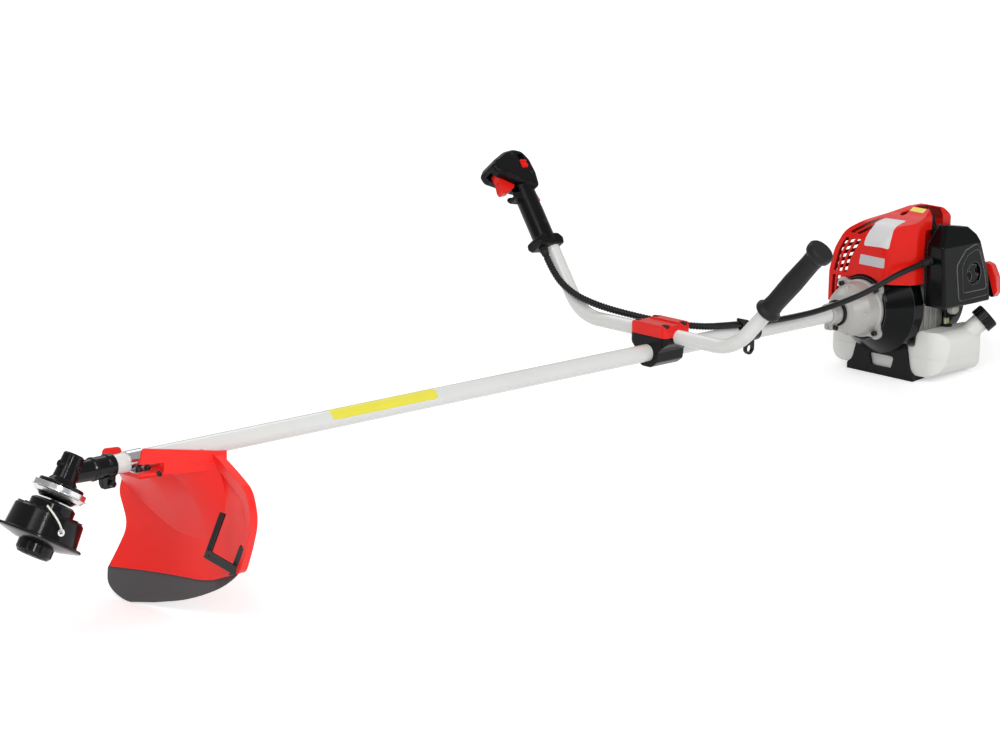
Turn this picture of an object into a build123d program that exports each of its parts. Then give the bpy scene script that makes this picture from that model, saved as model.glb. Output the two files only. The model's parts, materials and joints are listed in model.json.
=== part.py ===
from build123d import *
from functools import cache
from math import atan2, cos, degrees, pi, radians, sin, tan
import os

# Petrol string trimmer with a bull handlebar. Millimetres.
# The pieces are drawn in the machine's own axes: X along the shaft towards the cutting head, with
# X = 0 where the tube leaves its collar, +Y to the operator's left and +Z up. At the end every piece is
# tipped by REST_TILT, so that the machine stands on its foot and on the lower edge of its guard.

# Shaft
TUBE_R = 13.0
TUBE_WALL = 1.5
TUBE_BACK = -34.0
TUBE_FRONT = 1450.0
DRIVE_R = 4.0
RUNNING_GAP = 0.05
BUSH_PLACES = (180, 540, 900, 1260)
BUSH_LENGTH = 28.0

# Cutting head, measured down the spindle from the crossing with the shaft axis
HEAD_X = 1495.0
HEAD_LEAN = 30.0
PINION_TEETH = 13
GEAR_TEETH = 19
BEVEL_MODULE = 1.2
SPINDLE_R = 7.0
CASE_FOOT = 17.0
SOCKET_X = 1423.0
CUP_R = 35.0
HOUSING_R = 49.0
HOUSING_TOP = 38.0
RIM_R = 56.0
RIM_TOP = 84.0
KNOB_R = 24.0
KNOB_END = 111.0
BUMP_TRAVEL = 6.0

# Guard: a dished shield across the shaft, with a trough that carries it on the tube
GUARD_BACK_X = 1289.0
SHIELD_X = 1287.0
FAIRING_FOOT_X = 1290.5
FAIRING_FOOT = -124.0
GUARD_WALL = 3.0
GUARD_SWEEP_R = 610.0
GUARD_LOW_X = 1318.0
GUARD_LOW_Z = -226.0
RIM_DEPTH = 9.0
TROUGH_FRONT = 1398.0
TROUGH_HALF = 30.0

# Handlebar
BAR_X = 400.0
BAR_Z = 26.0
BAR_R = 11.0
BAR_WALL = 1.5
LEFT_CORNER_Y = 147.0
RIGHT_CORNER_Y = -165.0
BAR_BEND_R = 80.0
BAR_RISE = 50.0
BAR_LEAN = 8.0
CLAMP_HALF_X = 28.0
CLAMP_HALF_Y = 37.0
LEFT_BAR_END = 206.0
RIGHT_BAR_END = 190.0
GRIP_START = 83.0
GRIP_LENGTH = 137.0
HANDLE_START = 118.0

# Throttle cable
CABLE_R = 4.6
CABLE_RIB_R = 5.4
CABLE_PLAIN = 22.0
CABLE_RIBS = 76
RIB_PITCH = 4.6

# Engine, behind the clutch flange
FLANGE_X = -66.0
FAN_R = 78.0
FAN_BACK = -126.0
CRANK_BACK = -196.0
CYLINDER_X = -160.0
PLUG_SEAT = 108.0
COVER_WALL = 2.5
FILTER_FRONT = -122.0
FILTER_BASE_Y = 79.0
FILTER_FACE_Y = 122.0
FILTER_KNOB = (-198.0, 119.0, 57.0)
CHOKE_PIVOT = (-210.0, 74.0)
TANK_FLOOR = -108.0
TANK_TOP = -34.0
BOLT_HALF = 35.0

# Stand
FOOT_FRONT_X = -121.0
FOOT_BACK_X = -200.0
FOOT_Z = -118.0
FOOT_HALF_Y = 66.0

REST_TILT = degrees(atan2(FOOT_Z - GUARD_LOW_Z, GUARD_LOW_X - FOOT_FRONT_X))
FOOT_MID_X = (FOOT_FRONT_X + FOOT_BACK_X) / 2
FLOOR_Z = FOOT_Z + tan(radians(REST_TILT)) * (FOOT_FRONT_X - FOOT_MID_X)

SHAFT = Plane(origin=(0, 0, 0), x_dir=(0, 1, 0), z_dir=(1, 0, 0)).location
SIDE = Plane(origin=(0, 0, 0), x_dir=(1, 0, 0), z_dir=(0, -1, 0)).location
FLAT = Plane.XY.location
SPINDLE_DIR = Vector(sin(radians(HEAD_LEAN)), 0, -cos(radians(HEAD_LEAN)))
HEAD = Plane(origin=(HEAD_X, 0, 0), x_dir=(cos(radians(HEAD_LEAN)), 0, sin(radians(HEAD_LEAN))),
             z_dir=SPINDLE_DIR).location


def bar_axis(side):
    """Direction of a handlebar's upright leg; side is +1 on the operator's left, -1 on the right."""
    rise, lean = radians(BAR_RISE), radians(BAR_LEAN)
    return Vector(-sin(rise) * sin(lean), side * cos(rise), sin(rise) * cos(lean))


def bar_corner(side):
    return Vector(BAR_X, LEFT_CORNER_Y if side > 0 else RIGHT_CORNER_Y, BAR_Z)


def bar_frame(side):
    """Frame on a bar's upright leg: Z along the leg from its bend, X towards the front of the machine."""
    axis = bar_axis(side)
    front = Vector(1, 0, 0) - axis * axis.X
    return Plane(origin=bar_corner(side), x_dir=front, z_dir=axis).location


LEFT_LEG = bar_frame(1)
RIGHT_LEG = bar_frame(-1)


def turned(profile, frame):
    """Solid turned about the frame's Z axis from (radius, height) points."""
    outline = Polyline(*[(r, 0, z) for r, z in profile], close=True)
    return frame * revolve(make_face(outline), Axis.Z)


def prism(points, frame, low, high, radius=0.0):
    """Straight extrusion of an outline, with its corners rounded by one radius or a list of them."""
    if radius:
        outline = FilletPolyline(*points, radius=radius, close=True)
    else:
        outline = Polyline(*points, close=True)
    return frame * (Pos(0, 0, low) * extrude(make_face(outline), high - low, dir=(0, 0, 1)))


def rod(start, end, r):
    start, end = Vector(*start), Vector(*end)
    span = end - start
    bar = Cylinder(r, span.length, align=(Align.CENTER, Align.CENTER, Align.MIN))
    return Plane(origin=start, z_dir=span).location * bar


def strip(start, end, across, width, thickness):
    """Flat bar between two points; across is the direction of its width."""
    start, end = Vector(*start), Vector(*end)
    along = (end - start).normalized()
    across = Vector(*across) - along * Vector(*across).dot(along)
    bar = Box(width, thickness, (end - start).length)
    return Plane(origin=(start + end) * 0.5, x_dir=across, z_dir=along).location * bar


def block(low, high):
    size = [b - a for a, b in zip(low, high)]
    middle = [(a + b) / 2 for a, b in zip(low, high)]
    return Pos(*middle) * Box(*size)


def group(pieces):
    return Compound([solid for piece in pieces for solid in piece.solids()])


def cap_screw(seat, direction, length):
    """Socket screw of 5 mm whose head stands on the seat; direction points from the tip to the head."""
    head = Cylinder(4.2, 5, align=(Align.CENTER, Align.CENTER, Align.MIN))
    shank = Pos(0, 0, -length) * Cylinder(2.5, length, align=(Align.CENTER, Align.CENTER, Align.MIN))
    socket = Pos(0, 0, 2.4) * extrude(RegularPolygon(2.3, 6), 4)
    return Plane(origin=seat, z_dir=direction).location * (head + shank - socket)


# Shaft and drive


def shaft_tube():
    inner = TUBE_R - TUBE_WALL
    return turned([(inner, TUBE_BACK), (TUBE_R, TUBE_BACK), (TUBE_R, TUBE_FRONT), (inner, TUBE_FRONT)], SHAFT)


def shaft_bushes():
    inner, outer = DRIVE_R + RUNNING_GAP, TUBE_R - TUBE_WALL
    return group(
        turned([(inner, x), (outer, x), (outer, x + BUSH_LENGTH), (inner, x + BUSH_LENGTH)], SHAFT)
        for x in BUSH_PLACES
    )


def drive_shaft():
    return rod((-46, 0, 0), (HEAD_X - 27, 0, 0), DRIVE_R)


def clutch_drum():
    drum = turned([(DRIVE_R, -46), (27.5, -46), (27.5, -62), (30, -62), (30, -43), (9, -43), (9, -37),
                   (DRIVE_R, -37)], SHAFT)
    windows = [SHAFT * Rot(0, 0, 90 * i) * Pos(18, 0, -44) * Cylinder(4, 8) for i in range(4)]
    return drum - windows


def clutch_shoes():
    ring = turned([(12, -62), (26.6, -62), (26.6, -50), (12, -50)], SHAFT)
    gap = block((-63, -3, -40), (-47, 3, 40))
    return group([ring - gap])


def flywheel():
    wheel = turned([(0, -152), (7.95, -152), (7.95, -101), (62, -101), (64, -97), (62, -93), (20, -93),
                    (12, -84), (12, -50), (0, -50)], SHAFT)
    fins = [SHAFT * Rot(0, 0, 360 / 14 * i) * Pos(44.5, 0, -88.2) * Box(21, 2.4, 10) for i in range(14)]
    return wheel + fins


# Gear case and bevel gears


def bevel_cone(teeth, partner, shaft_angle):
    """Pitch cone half angle of a bevel gear that meets its partner at the shaft angle."""
    return atan2(sin(shaft_angle), partner / teeth + cos(shaft_angle))


def bevel_wheel(teeth, partner, face, bore):
    """Straight bevel gear with its cone's point at the origin and its back along +Z."""
    cone = bevel_cone(teeth, partner, radians(90 - HEAD_LEAN))
    reach = BEVEL_MODULE * teeth / 2 / sin(cone)
    near = reach - face
    lift = BEVEL_MODULE / reach
    root, tip = cone - 1.2 * lift, cone + 0.75 * lift
    body = turned([(bore, near * cos(root)), (near * sin(root), near * cos(root)),
                   (reach * sin(root), reach * cos(root)), (reach * sin(root) * 0.85, reach * cos(root) + 3),
                   (bore, reach * cos(root) + 3)], FLAT)
    half = 0.30 * pi / teeth
    wide = half * 1.5

    def section(distance):
        points = [(root - 0.1 * lift, -wide), (tip, -half * 0.62), (tip, half * 0.62),
                  (root - 0.1 * lift, wide)]
        ring = [(distance * sin(a) * cos(t), distance * sin(a) * sin(t), distance * cos(a)) for a,
                t in points]
        return make_face(Polyline(*ring, close=True))

    inner, outer = section(near), section(reach)
    tooth = loft([inner, outer], ruled=True)
    return body + [Rot(0, 0, 360 / teeth * i) * tooth for i in range(teeth)]


PINION_FRAME = Plane(origin=(HEAD_X, 0, 0), x_dir=(0, 0, 1), z_dir=(-1, 0, 0)).location
GEAR_FRAME = Plane(origin=(HEAD_X, 0, 0), x_dir=(-cos(radians(HEAD_LEAN)), 0, -sin(radians(HEAD_LEAN))),
                   z_dir=-SPINDLE_DIR).location


def bevel_pinion():
    return PINION_FRAME * bevel_wheel(PINION_TEETH, GEAR_TEETH, 6.0, DRIVE_R)


def bevel_gear():
    half_pitch = 180 / GEAR_TEETH
    return GEAR_FRAME * Rot(0, 0, half_pitch) * bevel_wheel(GEAR_TEETH, PINION_TEETH, 6.0, SPINDLE_R - 2)


def output_spindle():
    return turned([(0, -22), (5, -22), (5, -8), (4, -7), (4, 4), (SPINDLE_R, 8), (SPINDLE_R, 36), (5, 36.5),
                   (5, 54),
                   (0, 54)], HEAD)


def gear_case():
    barrel = turned([(0, -28), (12, -28), (14, -26), (14.6, -12), (16, 6), (20, 11), (29, 12.5), (30, 14),
                     (30, CASE_FOOT), (0, CASE_FOOT)], HEAD)
    socket = turned([(0, SOCKET_X), (15, SOCKET_X), (16.2, SOCKET_X + 1.5), (16.2, SOCKET_X + 10),
                     (15, SOCKET_X + 12),
                     (15, 1452), (15.8, 1453), (15.8, 1456), (14.4, 1458), (13.4, 1486), (0, 1486)], SHAFT)
    ear = prism(((-10, -10), (10, -10), (9, -24), (5, -29), (-5, -29), (-9, -24)), SHAFT, SOCKET_X + 1,
                SOCKET_X + 14,
                (1, 1, 4, 4, 4, 4))
    plug = HEAD * (Pos(15.5, 0, -10) * Rot(0, 90, 0) * Cylinder(4.5, 5))
    web = prism(((1462, 10), (1500, 10), (1490, 24), (1474, 20)), SIDE, -2, 2)
    cavity = turned([(0, -24.5), (12.6, -24.5), (13, 4), (13, 9), (SPINDLE_R + RUNNING_GAP, 9),
                     (SPINDLE_R + RUNNING_GAP, CASE_FOOT + 1), (0, CASE_FOOT + 1)], HEAD)
    throat = turned([(0, 1400), (TUBE_R, 1400), (TUBE_R, TUBE_FRONT), (10.5, TUBE_FRONT), (10.5, 1486),
                     (0, 1486)],
                    SHAFT)
    slit = block((SOCKET_X - 10, -0.8, -40), (SOCKET_X + 18, 0.8, -10))
    bolt_hole = rod((SOCKET_X + 8, -30, -21), (SOCKET_X + 8, 30, -21), 2.5)
    return barrel + socket + [ear, plug, web] - [cavity, throat, slit, bolt_hole]


# Line head


def spindle_cup():
    return turned([(SPINDLE_R, 30), (20, 32), (30, 27.5), (33.4, 23), (33.4, 17.6), (CUP_R, 17.6),
                   (CUP_R, 24),
                   (37, 24.4), (37, 25.4), (CUP_R, 26), (31.5, 30.5), (21, HOUSING_TOP - 2),
                   (SPINDLE_R, 36)], HEAD)


def head_housing():
    shell = turned([(5, HOUSING_TOP), (26, HOUSING_TOP), (30, 41), (30, 51), (44, 52), (46.5, 54.5),
                    (HOUSING_R, RIM_TOP), (46, RIM_TOP), (44, 57), (12, 57), (12, 61), (9, 61), (9, 54),
                    (5, 54)],
                   HEAD)
    ribs = [HEAD * Rot(0, 0, 36 * i) * (Pos(36, 0, 51.2) * Box(15, 3, 2.4)) for i in range(10)]
    exits = [HEAD * Rot(0, 0, EYELET_TURN) * (Pos(0, y, 72) * Rot(90, 0, 0) * Cylinder(3.2, 12))
             for y in (-46, 46)]
    return shell + ribs - exits


def head_cover():
    cover = turned([(46, RIM_TOP + 0.05), (RIM_R - 1, RIM_TOP + 0.05), (RIM_R, RIM_TOP + 1), (RIM_R, 87.5),
                    (53, 89),
                    (30, 95), (KNOB_R + 0.6, 95), (KNOB_R + 0.6, 92.5), (44, 87), (44, 82), (45.4, 82)], HEAD)
    lugs = [HEAD * Rot(0, 0, a) * (Pos(RIM_R - 2, 0, 86) * Box(7, 12, 3.4)) for a in (25, 145, 265)]
    return cover + lugs


def line_spool():
    return turned([(9.2, 68), (40, 68), (40, 70), (20, 70), (20, 83), (40, 83), (40, 85), (18, 85), (18, 92),
                   (9.2, 92)], HEAD)


def bump_knob():
    knob = turned([(9.2, 92.05), (KNOB_R - 1, 92.05), (KNOB_R, 94), (KNOB_R, 106), (KNOB_R - 4, KNOB_END),
                   (KNOB_R - 7, KNOB_END), (KNOB_R - 8, KNOB_END - 1.5), (0, KNOB_END - 1.5), (0, 98),
                   (9.2, 98)],
                  HEAD)
    grooves = [HEAD * Rot(0, 0, 30 * i) * (Pos(KNOB_R + 0.6, 0, 102) * Cylinder(1.8, 12)) for i in range(12)]
    ridges = [HEAD * (Pos(0, y, KNOB_END - 1.2) * Box(24, 1.6, 1.4)) for y in (-8, -4, 0, 4, 8)]
    return knob - grooves + ridges


def bump_spring():
    return turned([(13.5, 57), (15.5, 57), (15.5, 61.4), (13.5, 61.4)], HEAD)


def line_eyelets():
    ring = turned([(2.1, 45.5), (2.6, 45), (3.2, 45), (3.2, 48.4), (4.8, 48.9), (4.8, 50), (2.1, 50)], FLAT)
    return group([HEAD * Rot(0, 0, EYELET_TURN) * Pos(0, 0, 72) * Rot(side * 90, 0, 0) * ring
                  for side in (-1, 1)])


LINE_R = 1.3
EYELET_TURN = 12.0
LINE_ROUTE = ((0, 44, 72), (0, 51, 72), (-4, 57, 69), (-13, 59, 62), (-24, 56, 54), (-33, 50, 48))


def trimmer_line():
    lines = []
    for side in (1, -1):
        points = [(side * x, side * y, z) for x, y, z in LINE_ROUTE]
        lines.append(HEAD * Rot(0, 0, EYELET_TURN) * tube_along(points, LINE_R))
    return group(lines)


# Cords: straight runs joined by tangent arcs


def corner_radii(points):
    """Largest arcs that the runs allow: 0.45 of the shorter run over the tangent of half the turn."""
    radii = []
    for a, b, c in zip(points, points[1:], points[2:]):
        before, after = Vector(*b) - Vector(*a), Vector(*c) - Vector(*b)
        turn = radians(before.get_angle(after))
        radii.append(0.45 * min(before.length, after.length) / tan(turn / 2))
    return radii


def route(points):
    return FilletPolyline(*points, radius=corner_radii(points))


def tube_along(points, r):
    path = route(points)
    section = Plane(origin=path @ 0, z_dir=path % 0) * Circle(r)
    return sweep(section, path)


CABLE_ROUTE = ((405.2, -248, 124), (412, -217, 86), (413, -176, 61), (401, -132, 47), (378, -86, 37),
               (344, -38, 27), (302, -2, 20.6), (250, 9, 18.2), (196, 14.6, 15), (140, 24.5, 15.5),
               (84, 34.5, 20),
               (30, 47, 31), (-10, 60, 43.5), (-52, 75, 64.5), (-90, 84, 76), (-124.5, 88.6, 82))


@cache
def throttle_cable():
    """Ribbed conduit from the handle to the clip, then a plain sleeve: one ruled loft through circles."""
    path = Wire(route(CABLE_ROUTE).edges())
    stations = [(0, CABLE_R), (CABLE_PLAIN, CABLE_R)]
    for i in range(CABLE_RIBS):
        start = CABLE_PLAIN + RIB_PITCH * (i + 0.1)
        stations += [(start, CABLE_R), (start + 0.2 * RIB_PITCH, CABLE_RIB_R),
                     (start + 0.6 * RIB_PITCH, CABLE_RIB_R), (start + 0.8 * RIB_PITCH, CABLE_R)]
    first = CABLE_PLAIN + RIB_PITCH * (CABLE_RIBS + 0.2)
    steps = round((path.length - first) / 12)
    stations += [(first + (path.length - first) * i / steps, CABLE_R) for i in range(steps + 1)]

    def ring(length, r):
        ahead = path.tangent_at(length / path.length)
        frame = Plane(origin=path.position_at(length / path.length),
                      x_dir=Vector(0, 0, 1) - ahead * ahead.Z, z_dir=ahead)
        return frame * Circle(r)

    return loft([ring(length, r) for length, r in stations], ruled=True)


# Guard


def guard_profile(front, back):
    """Dished profile of the shield in the XZ plane, between two depths measured from its front face."""
    def arc(depth):
        return ((GUARD_BACK_X + 13 + depth, 0, 20), (GUARD_BACK_X + depth, 0, -90),
                (GUARD_LOW_X + depth, 0, GUARD_LOW_Z - 4))
    ahead, behind = arc(front), arc(-back)
    edges = [ThreePointArc(*ahead), Line(ahead[2], behind[2]), ThreePointArc(*reversed(behind)),
             Line(behind[0], ahead[0])]
    return make_face(edges)


def guard_dish(front, back):
    """The profile swept about an upright axis in front of the shield, so that the sides come forward."""
    axis = Axis((GUARD_BACK_X + GUARD_SWEEP_R, 0, 0), (0, 0, 1))
    dish = revolve(guard_profile(front, back), axis, 40)
    turn = Pos(GUARD_BACK_X + GUARD_SWEEP_R, 0, 0) * Rot(0, 0, -20) * Pos(-GUARD_BACK_X - GUARD_SWEEP_R, 0, 0)
    return turn * dish


SHIELD_OUTLINE = ((66, 11), (142, -24), (152, -62), (124, -138), (40, -171), (-144, -187), (-122, -128),
                  (-140, -84), (-132, -60), (-24, -17), (58, -12))
SHIELD_ROUND = (6, 24, 60, 14, 200, 4, 40, 30, 10, 6, 1)
SHIELD_FACE = ((62, -5), (129, -38), (140, -62), (114, -132), (40, -175), (-163, -200), (-200, -128),
               (-200, -60), (-24, -6))


def fairing_section(y, front, top):
    """Section of the fillet between trough and shield at one y: a hollow curve from its front to its foot."""
    middle = (front * 0.34 + SHIELD_X * 0.66, top * 0.62 + FAIRING_FOOT * 0.38)
    curve = ThreePointArc((front, top), middle, (FAIRING_FOOT_X, FAIRING_FOOT))
    rest = Polyline((FAIRING_FOOT_X, FAIRING_FOOT), (SHIELD_X, FAIRING_FOOT), (SHIELD_X, top), (front, top))
    return SIDE * (Pos(0, 0, -y) * make_face([curve, *rest.edges()]))


def guard_fairing():
    """The trough's floor runs down into the shield in one hollow curve, which dies out on both sides."""
    front = TROUGH_FRONT - 2
    near = loft([fairing_section(TROUGH_HALF, front, 6), fairing_section(72, 1308, -2)], ruled=True)
    middle = loft([fairing_section(-TROUGH_HALF, front, -10), fairing_section(TROUGH_HALF, front, 6)],
                  ruled=True)
    far = loft([fairing_section(-TROUGH_HALF, front, -10), fairing_section(-116, 1314, -66)], ruled=True)
    trough = block((SHIELD_X - 10, -TROUGH_HALF - 1, -10.2), (front + 10, TROUGH_HALF - GUARD_WALL, 20))
    pocket = prism(((1270, -18), (1352, -18), (1318, -36), (1296, -62), (1270, -62)), SIDE, -26, 26,
                   (1, 3, 8, 3, 1))
    return ((near + [middle, far]) & guard_dish(140, GUARD_WALL / 2)) - [trough, pocket], pocket


def guard():
    outline = prism(SHIELD_OUTLINE, SHAFT, 1200, 1400, SHIELD_ROUND)
    face = prism(SHIELD_FACE, SHAFT, 1190, 1410, (4, 18, 40, 10, 150, 2, 2, 2, 2))
    sheet = guard_dish(0, GUARD_WALL) & outline
    rim = (guard_dish(RIM_DEPTH, 0) & outline) - face
    hollow = guard_dish(RIM_DEPTH - GUARD_WALL, GUARD_WALL + 1) & prism(
        ((66, 8), (139, -27), (147, -62), (120, -136), (117, -134), (143, -62), (133, -36),
         (66, -2)), SHAFT, 1190, 1410)
    wall_plan = prism(((TROUGH_FRONT + 8, TROUGH_HALF - GUARD_WALL), (TROUGH_FRONT + 8, TROUGH_HALF),
                       (1304, 70),
                       (1290, 70), (1290, 66), (1302, 66)), FLAT, -20, 40)
    wall_side = prism(((1285, -13), (TROUGH_FRONT + 6, -13), (TROUGH_FRONT, 24), (1285, 10)), SIDE, -100, 0,
                      (1, 1, 4, 1))
    window = block((1372, 10, -9.9), (TROUGH_FRONT + 20, 60, 3))
    far_tab = prism(((1300, -16), (1421, -16), (1414, 15), (1388, 13), (1380, -8), (1300, -9)), SIDE,
                    TROUGH_HALF - GUARD_WALL, TROUGH_HALF, (1, 3, 5, 5, 6, 1))
    floor = block((1300, -TROUGH_HALF, -17), (TROUGH_FRONT + 2, TROUGH_HALF, -10.2))
    fairing, pocket = guard_fairing()
    solid = sheet - pocket + [rim - hollow, fairing, wall_plan & wall_side] - window + [far_tab, floor]
    cradle = rod((1250, 0, 0), (1450, 0, 0), TUBE_R)
    return solid - [cradle, group(guard_screws()), line_cutter()]


def guard_extension():
    lower = ((112, -138), (98, -158), (14, -201), (-54, -218.5), (-102, -226.9), (-138, -217), (-148, -192),
             (-143, -178), (-60, -171), (40, -162), (108, -134))
    band = prism(lower, SHAFT, 1200, 1400, (2.4, 16, 90, 90, 30, 16, 6, 4, 120, 90, 2.4))
    return guard_dish(-GUARD_WALL - 0.05, GUARD_WALL + 2.6) & band


def line_cutter():
    foot = strip((1310, 117, -139), (1338, 84, -115), (0, 0, 1), 11, 4)
    blade = strip((1337, 86, -120), (1310, 86, -66), (0, 1, 0), 9, 3.4)
    upright = prism(((100, -146), (112, -143), (131, -104), (123, -101)), SHAFT, 1308.5, 1313)
    return foot + blade + upright


def guard_screws():
    return [cap_screw((x, 21.5 * side, -8.4), (0, 0, 1), 9) for x in (1382, 1396) for side in (-1, 1)]


def guard_bracket():
    r = TUBE_R + 1.8
    strap = turned([(TUBE_R, 1376), (r, 1376), (r, 1402), (TUBE_R, 1402)], SHAFT)
    strap -= block((1370, -40, -40), (1410, 40, -10))
    feet = [block((1376, 9.5 if s > 0 else -26, -10.2), (1402, 26 if s > 0 else -9.5, -8.4)) for s in (-1, 1)]
    core = rod((1370, 0, 0), (1410, 0, 0), TUBE_R)
    return strap + [foot - core for foot in feet] - group(guard_screws())


# Handlebar


def bar_core(side, r=BAR_R):
    corner = bar_corner(side)
    reach = LEFT_BAR_END if side > 0 else RIGHT_BAR_END
    path = FilletPolyline((BAR_X, side * 4, BAR_Z), corner, corner + bar_axis(side) * reach,
                          radius=BAR_BEND_R)
    return sweep(Plane(origin=path @ 0, z_dir=path % 0) * Circle(r), path)


def bar(side):
    return bar_core(side) - bar_core(side, BAR_R - BAR_WALL)


def clamp_screws():
    return [cap_screw((BAR_X + 19 * i, 28 * j, 40.5), (0, 0, 1), 22) for i in (-1, 1) for j in (-1, 1)]


def clamp_holes():
    return [bar_core(1), bar_core(-1), rod((300, 0, 0), (500, 0, 0), TUBE_R), group(clamp_screws())]


def handle_clamp_cap():
    y, x = CLAMP_HALF_Y, CLAMP_HALF_X
    cap = prism(((-y, BAR_Z + 0.3), (y, BAR_Z + 0.3), (y, 37), (30, 45), (-30, 45), (-y, 37)), SHAFT,
                BAR_X - x,
                BAR_X + x, (1, 1, 5, 6, 6, 5))
    plan = prism(((BAR_X - x, -y), (BAR_X + x, -y), (BAR_X + x, y), (BAR_X - x, y)), FLAT, 0, 60, 9)
    dish = block((BAR_X - 10, -50, 43), (BAR_X + 10, 50, 60))
    seats = [Pos(BAR_X + 19 * i, 28 * j, 40.5) * Cylinder(6.2, 10,
                                                          align=(Align.CENTER, Align.CENTER, Align.MIN))
             for i in (-1, 1) for j in (-1, 1)]
    return (cap & plan) - seats - dish - clamp_holes()


def handle_clamp_body():
    y, x = CLAMP_HALF_Y, CLAMP_HALF_X
    saddle = prism(((-y, BAR_Z - 0.3), (y, BAR_Z - 0.3), (y, 17), (23, 4), (21, -12), (9, -21), (-9, -21),
                    (-21, -12),
                    (-23, 4), (-y, 17)), SHAFT, BAR_X - x, BAR_X + x, (1, 1, 5, 6, 6, 9, 9, 6, 6, 5))
    plan = prism(((BAR_X - x, -y), (BAR_X + x, -y), (BAR_X + x, y), (BAR_X - x, y)), FLAT, -40, 60, 9)
    return (saddle & plan) - clamp_holes()


def left_grip():
    end = GRIP_START + GRIP_LENGTH
    r = 14.4
    grip = turned([(BAR_R, GRIP_START), (18.4, GRIP_START), (19.6, GRIP_START + 2), (19.6, GRIP_START + 6),
                   (r + 1, GRIP_START + 11), (r, GRIP_START + 22), (r + 1, GRIP_START + 65), (r, end - 30),
                   (r + 0.6, end - 18), (19.4, end - 13), (20.4, end - 9), (20.4, end - 3), (18, end),
                   (0, end),
                   (0, LEFT_BAR_END), (BAR_R, LEFT_BAR_END)], LEFT_LEG)
    flutes = [LEFT_LEG * Rot(0, 0, 30 * i) * (Pos(16.3, 0, GRIP_START + 65) * Cylinder(1.5, 76))
              for i in range(12)]
    return grip - flutes


# Throttle handle: the frame's X is the front, Z runs up the bar


HANDLE_HALF = 22.0


def handle_body():
    grip = RIGHT_LEG * Pos(9.5, 0, 178) * Cylinder(17, 104)
    head = prism(((-9, 219), (-13, 244), (-11, 268), (-2, 284), (14, 288), (34, 284), (58, 271), (68, 260),
                  (64, 247),
                  (48, 241), (28, 230)), RIGHT_LEG * Rot(90, 0, 0), -HANDLE_HALF, HANDLE_HALF,
                 (5, 20, 20, 14, 18, 24, 14, 8, 10, 12, 10))
    collar = prism(((-14, 120), (-17, 130), (-10, 139), (26, 139), (35, 133), (37, 125), (31, 120)),
                   RIGHT_LEG * Rot(90, 0, 0), -16, 16, (3, 5, 7, 6, 4, 4, 4))
    ends = collar.edges().group_by(lambda e: round(abs((RIGHT_LEG.inverse() * e).center().Y), 1))[-1]
    collar = fillet(ends, 4)
    nub = prism(((10, 203), (38, 206), (44, 211), (38, 216), (10, 218)), RIGHT_LEG * Rot(90, 0, 0), -9, 9,
                (1, 3, 4, 3, 1))
    head = fillet(head.edges().group_by(lambda e: round(abs((RIGHT_LEG.inverse() * e).center().Y), 1))[-1], 7)
    return grip + head + collar + nub


def handle_hollows():
    bore = RIGHT_LEG * Pos(0, 0, RIGHT_BAR_END) * Cylinder(BAR_R, 90,
                                                           align=(Align.CENTER, Align.CENTER, Align.MAX))
    slot = prism(((13, 214.5), (76, 204), (76, 240), (66, 253), (50, 266), (30, 266), (14, 246)),
                 RIGHT_LEG * Rot(90, 0, 0), -7.4, 7.4)
    lever_slot = prism(((-30, 196), (1.5, 196), (1.5, 229), (-30, 229)), RIGHT_LEG * Rot(90, 0, 0), -5.3, 5.3)
    switch_slot = prism(((2, 251), (14, 251), (14, 277), (2, 277)), RIGHT_LEG * Rot(90, 0, 0), -30, -16)
    return [bore, slot, lever_slot, switch_slot, throttle_cable()]


def handle_shell(side):
    half = RIGHT_LEG * Pos(20, side * 50, 200) * Box(200, 100, 240)
    pins = [trigger_pin(), lever_pin()]
    return (handle_body() & half) - handle_hollows() - pins


TRIGGER_PIVOT = (40, 0, 259)
LEVER_PIVOT = (-4.5, 0, 226)


def trigger_pin():
    return RIGHT_LEG * Pos(*TRIGGER_PIVOT) * Rot(90, 0, 0) * Cylinder(2.5, 24)


def lever_pin():
    return RIGHT_LEG * Pos(*LEVER_PIVOT) * Rot(90, 0, 0) * Cylinder(1.5, 18)


def throttle_trigger():
    finger = prism(((34, 263), (46, 264), (57, 252), (55, 240), (59, 222), (57, 217), (44, 219), (30, 227),
                    (28, 244)),
                   RIGHT_LEG * Rot(90, 0, 0), -6.8, 6.8, (4, 6, 5, 20, 3, 2, 8, 8, 8))
    pin = RIGHT_LEG * Pos(*TRIGGER_PIVOT) * Rot(90, 0, 0) * Cylinder(2.45, 23.6)
    return finger + pin


def lockout_lever():
    paddle = prism(((-3, 227.5), (-7.5, 227.5), (-10.5, 213), (-12.5, 203), (-10.5, 201), (-4.5, 202)),
                   RIGHT_LEG * Rot(90, 0, 0), -4.8, 4.8, (1, 1.5, 8, 1, 0.8, 1))
    pin = RIGHT_LEG * Pos(*LEVER_PIVOT) * Rot(90, 0, 0) * Cylinder(1.45, 17.6)
    return paddle + pin


def stop_switch():
    base = prism(((2.4, 252), (13.6, 252), (13.6, 266), (2.4, 266)), RIGHT_LEG * Rot(90, 0, 0), -23.6,
                 -16.3, 2)
    ridges = [RIGHT_LEG * Pos(8, 24.6, t) * Box(9, 2.4, 3) for t in (255, 263)]
    return base + ridges


# Tube fittings


def cable_clip():
    ring = turned([(TUBE_R, 222), (TUBE_R + 2, 222), (TUBE_R + 2, 234), (TUBE_R, 234)], SHAFT)
    seat = rod((222, 10.6, 16.4), (234, 10.6, 16.4), CABLE_R + 2)
    tip = prism(((224, 18), (234, 18), (246, 27), (244, 29.5), (224, 24)), SIDE, -19, -14)
    return ring + seat + tip - [rod((200, 0, 0), (260, 0, 0), TUBE_R), throttle_cable()]


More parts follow.
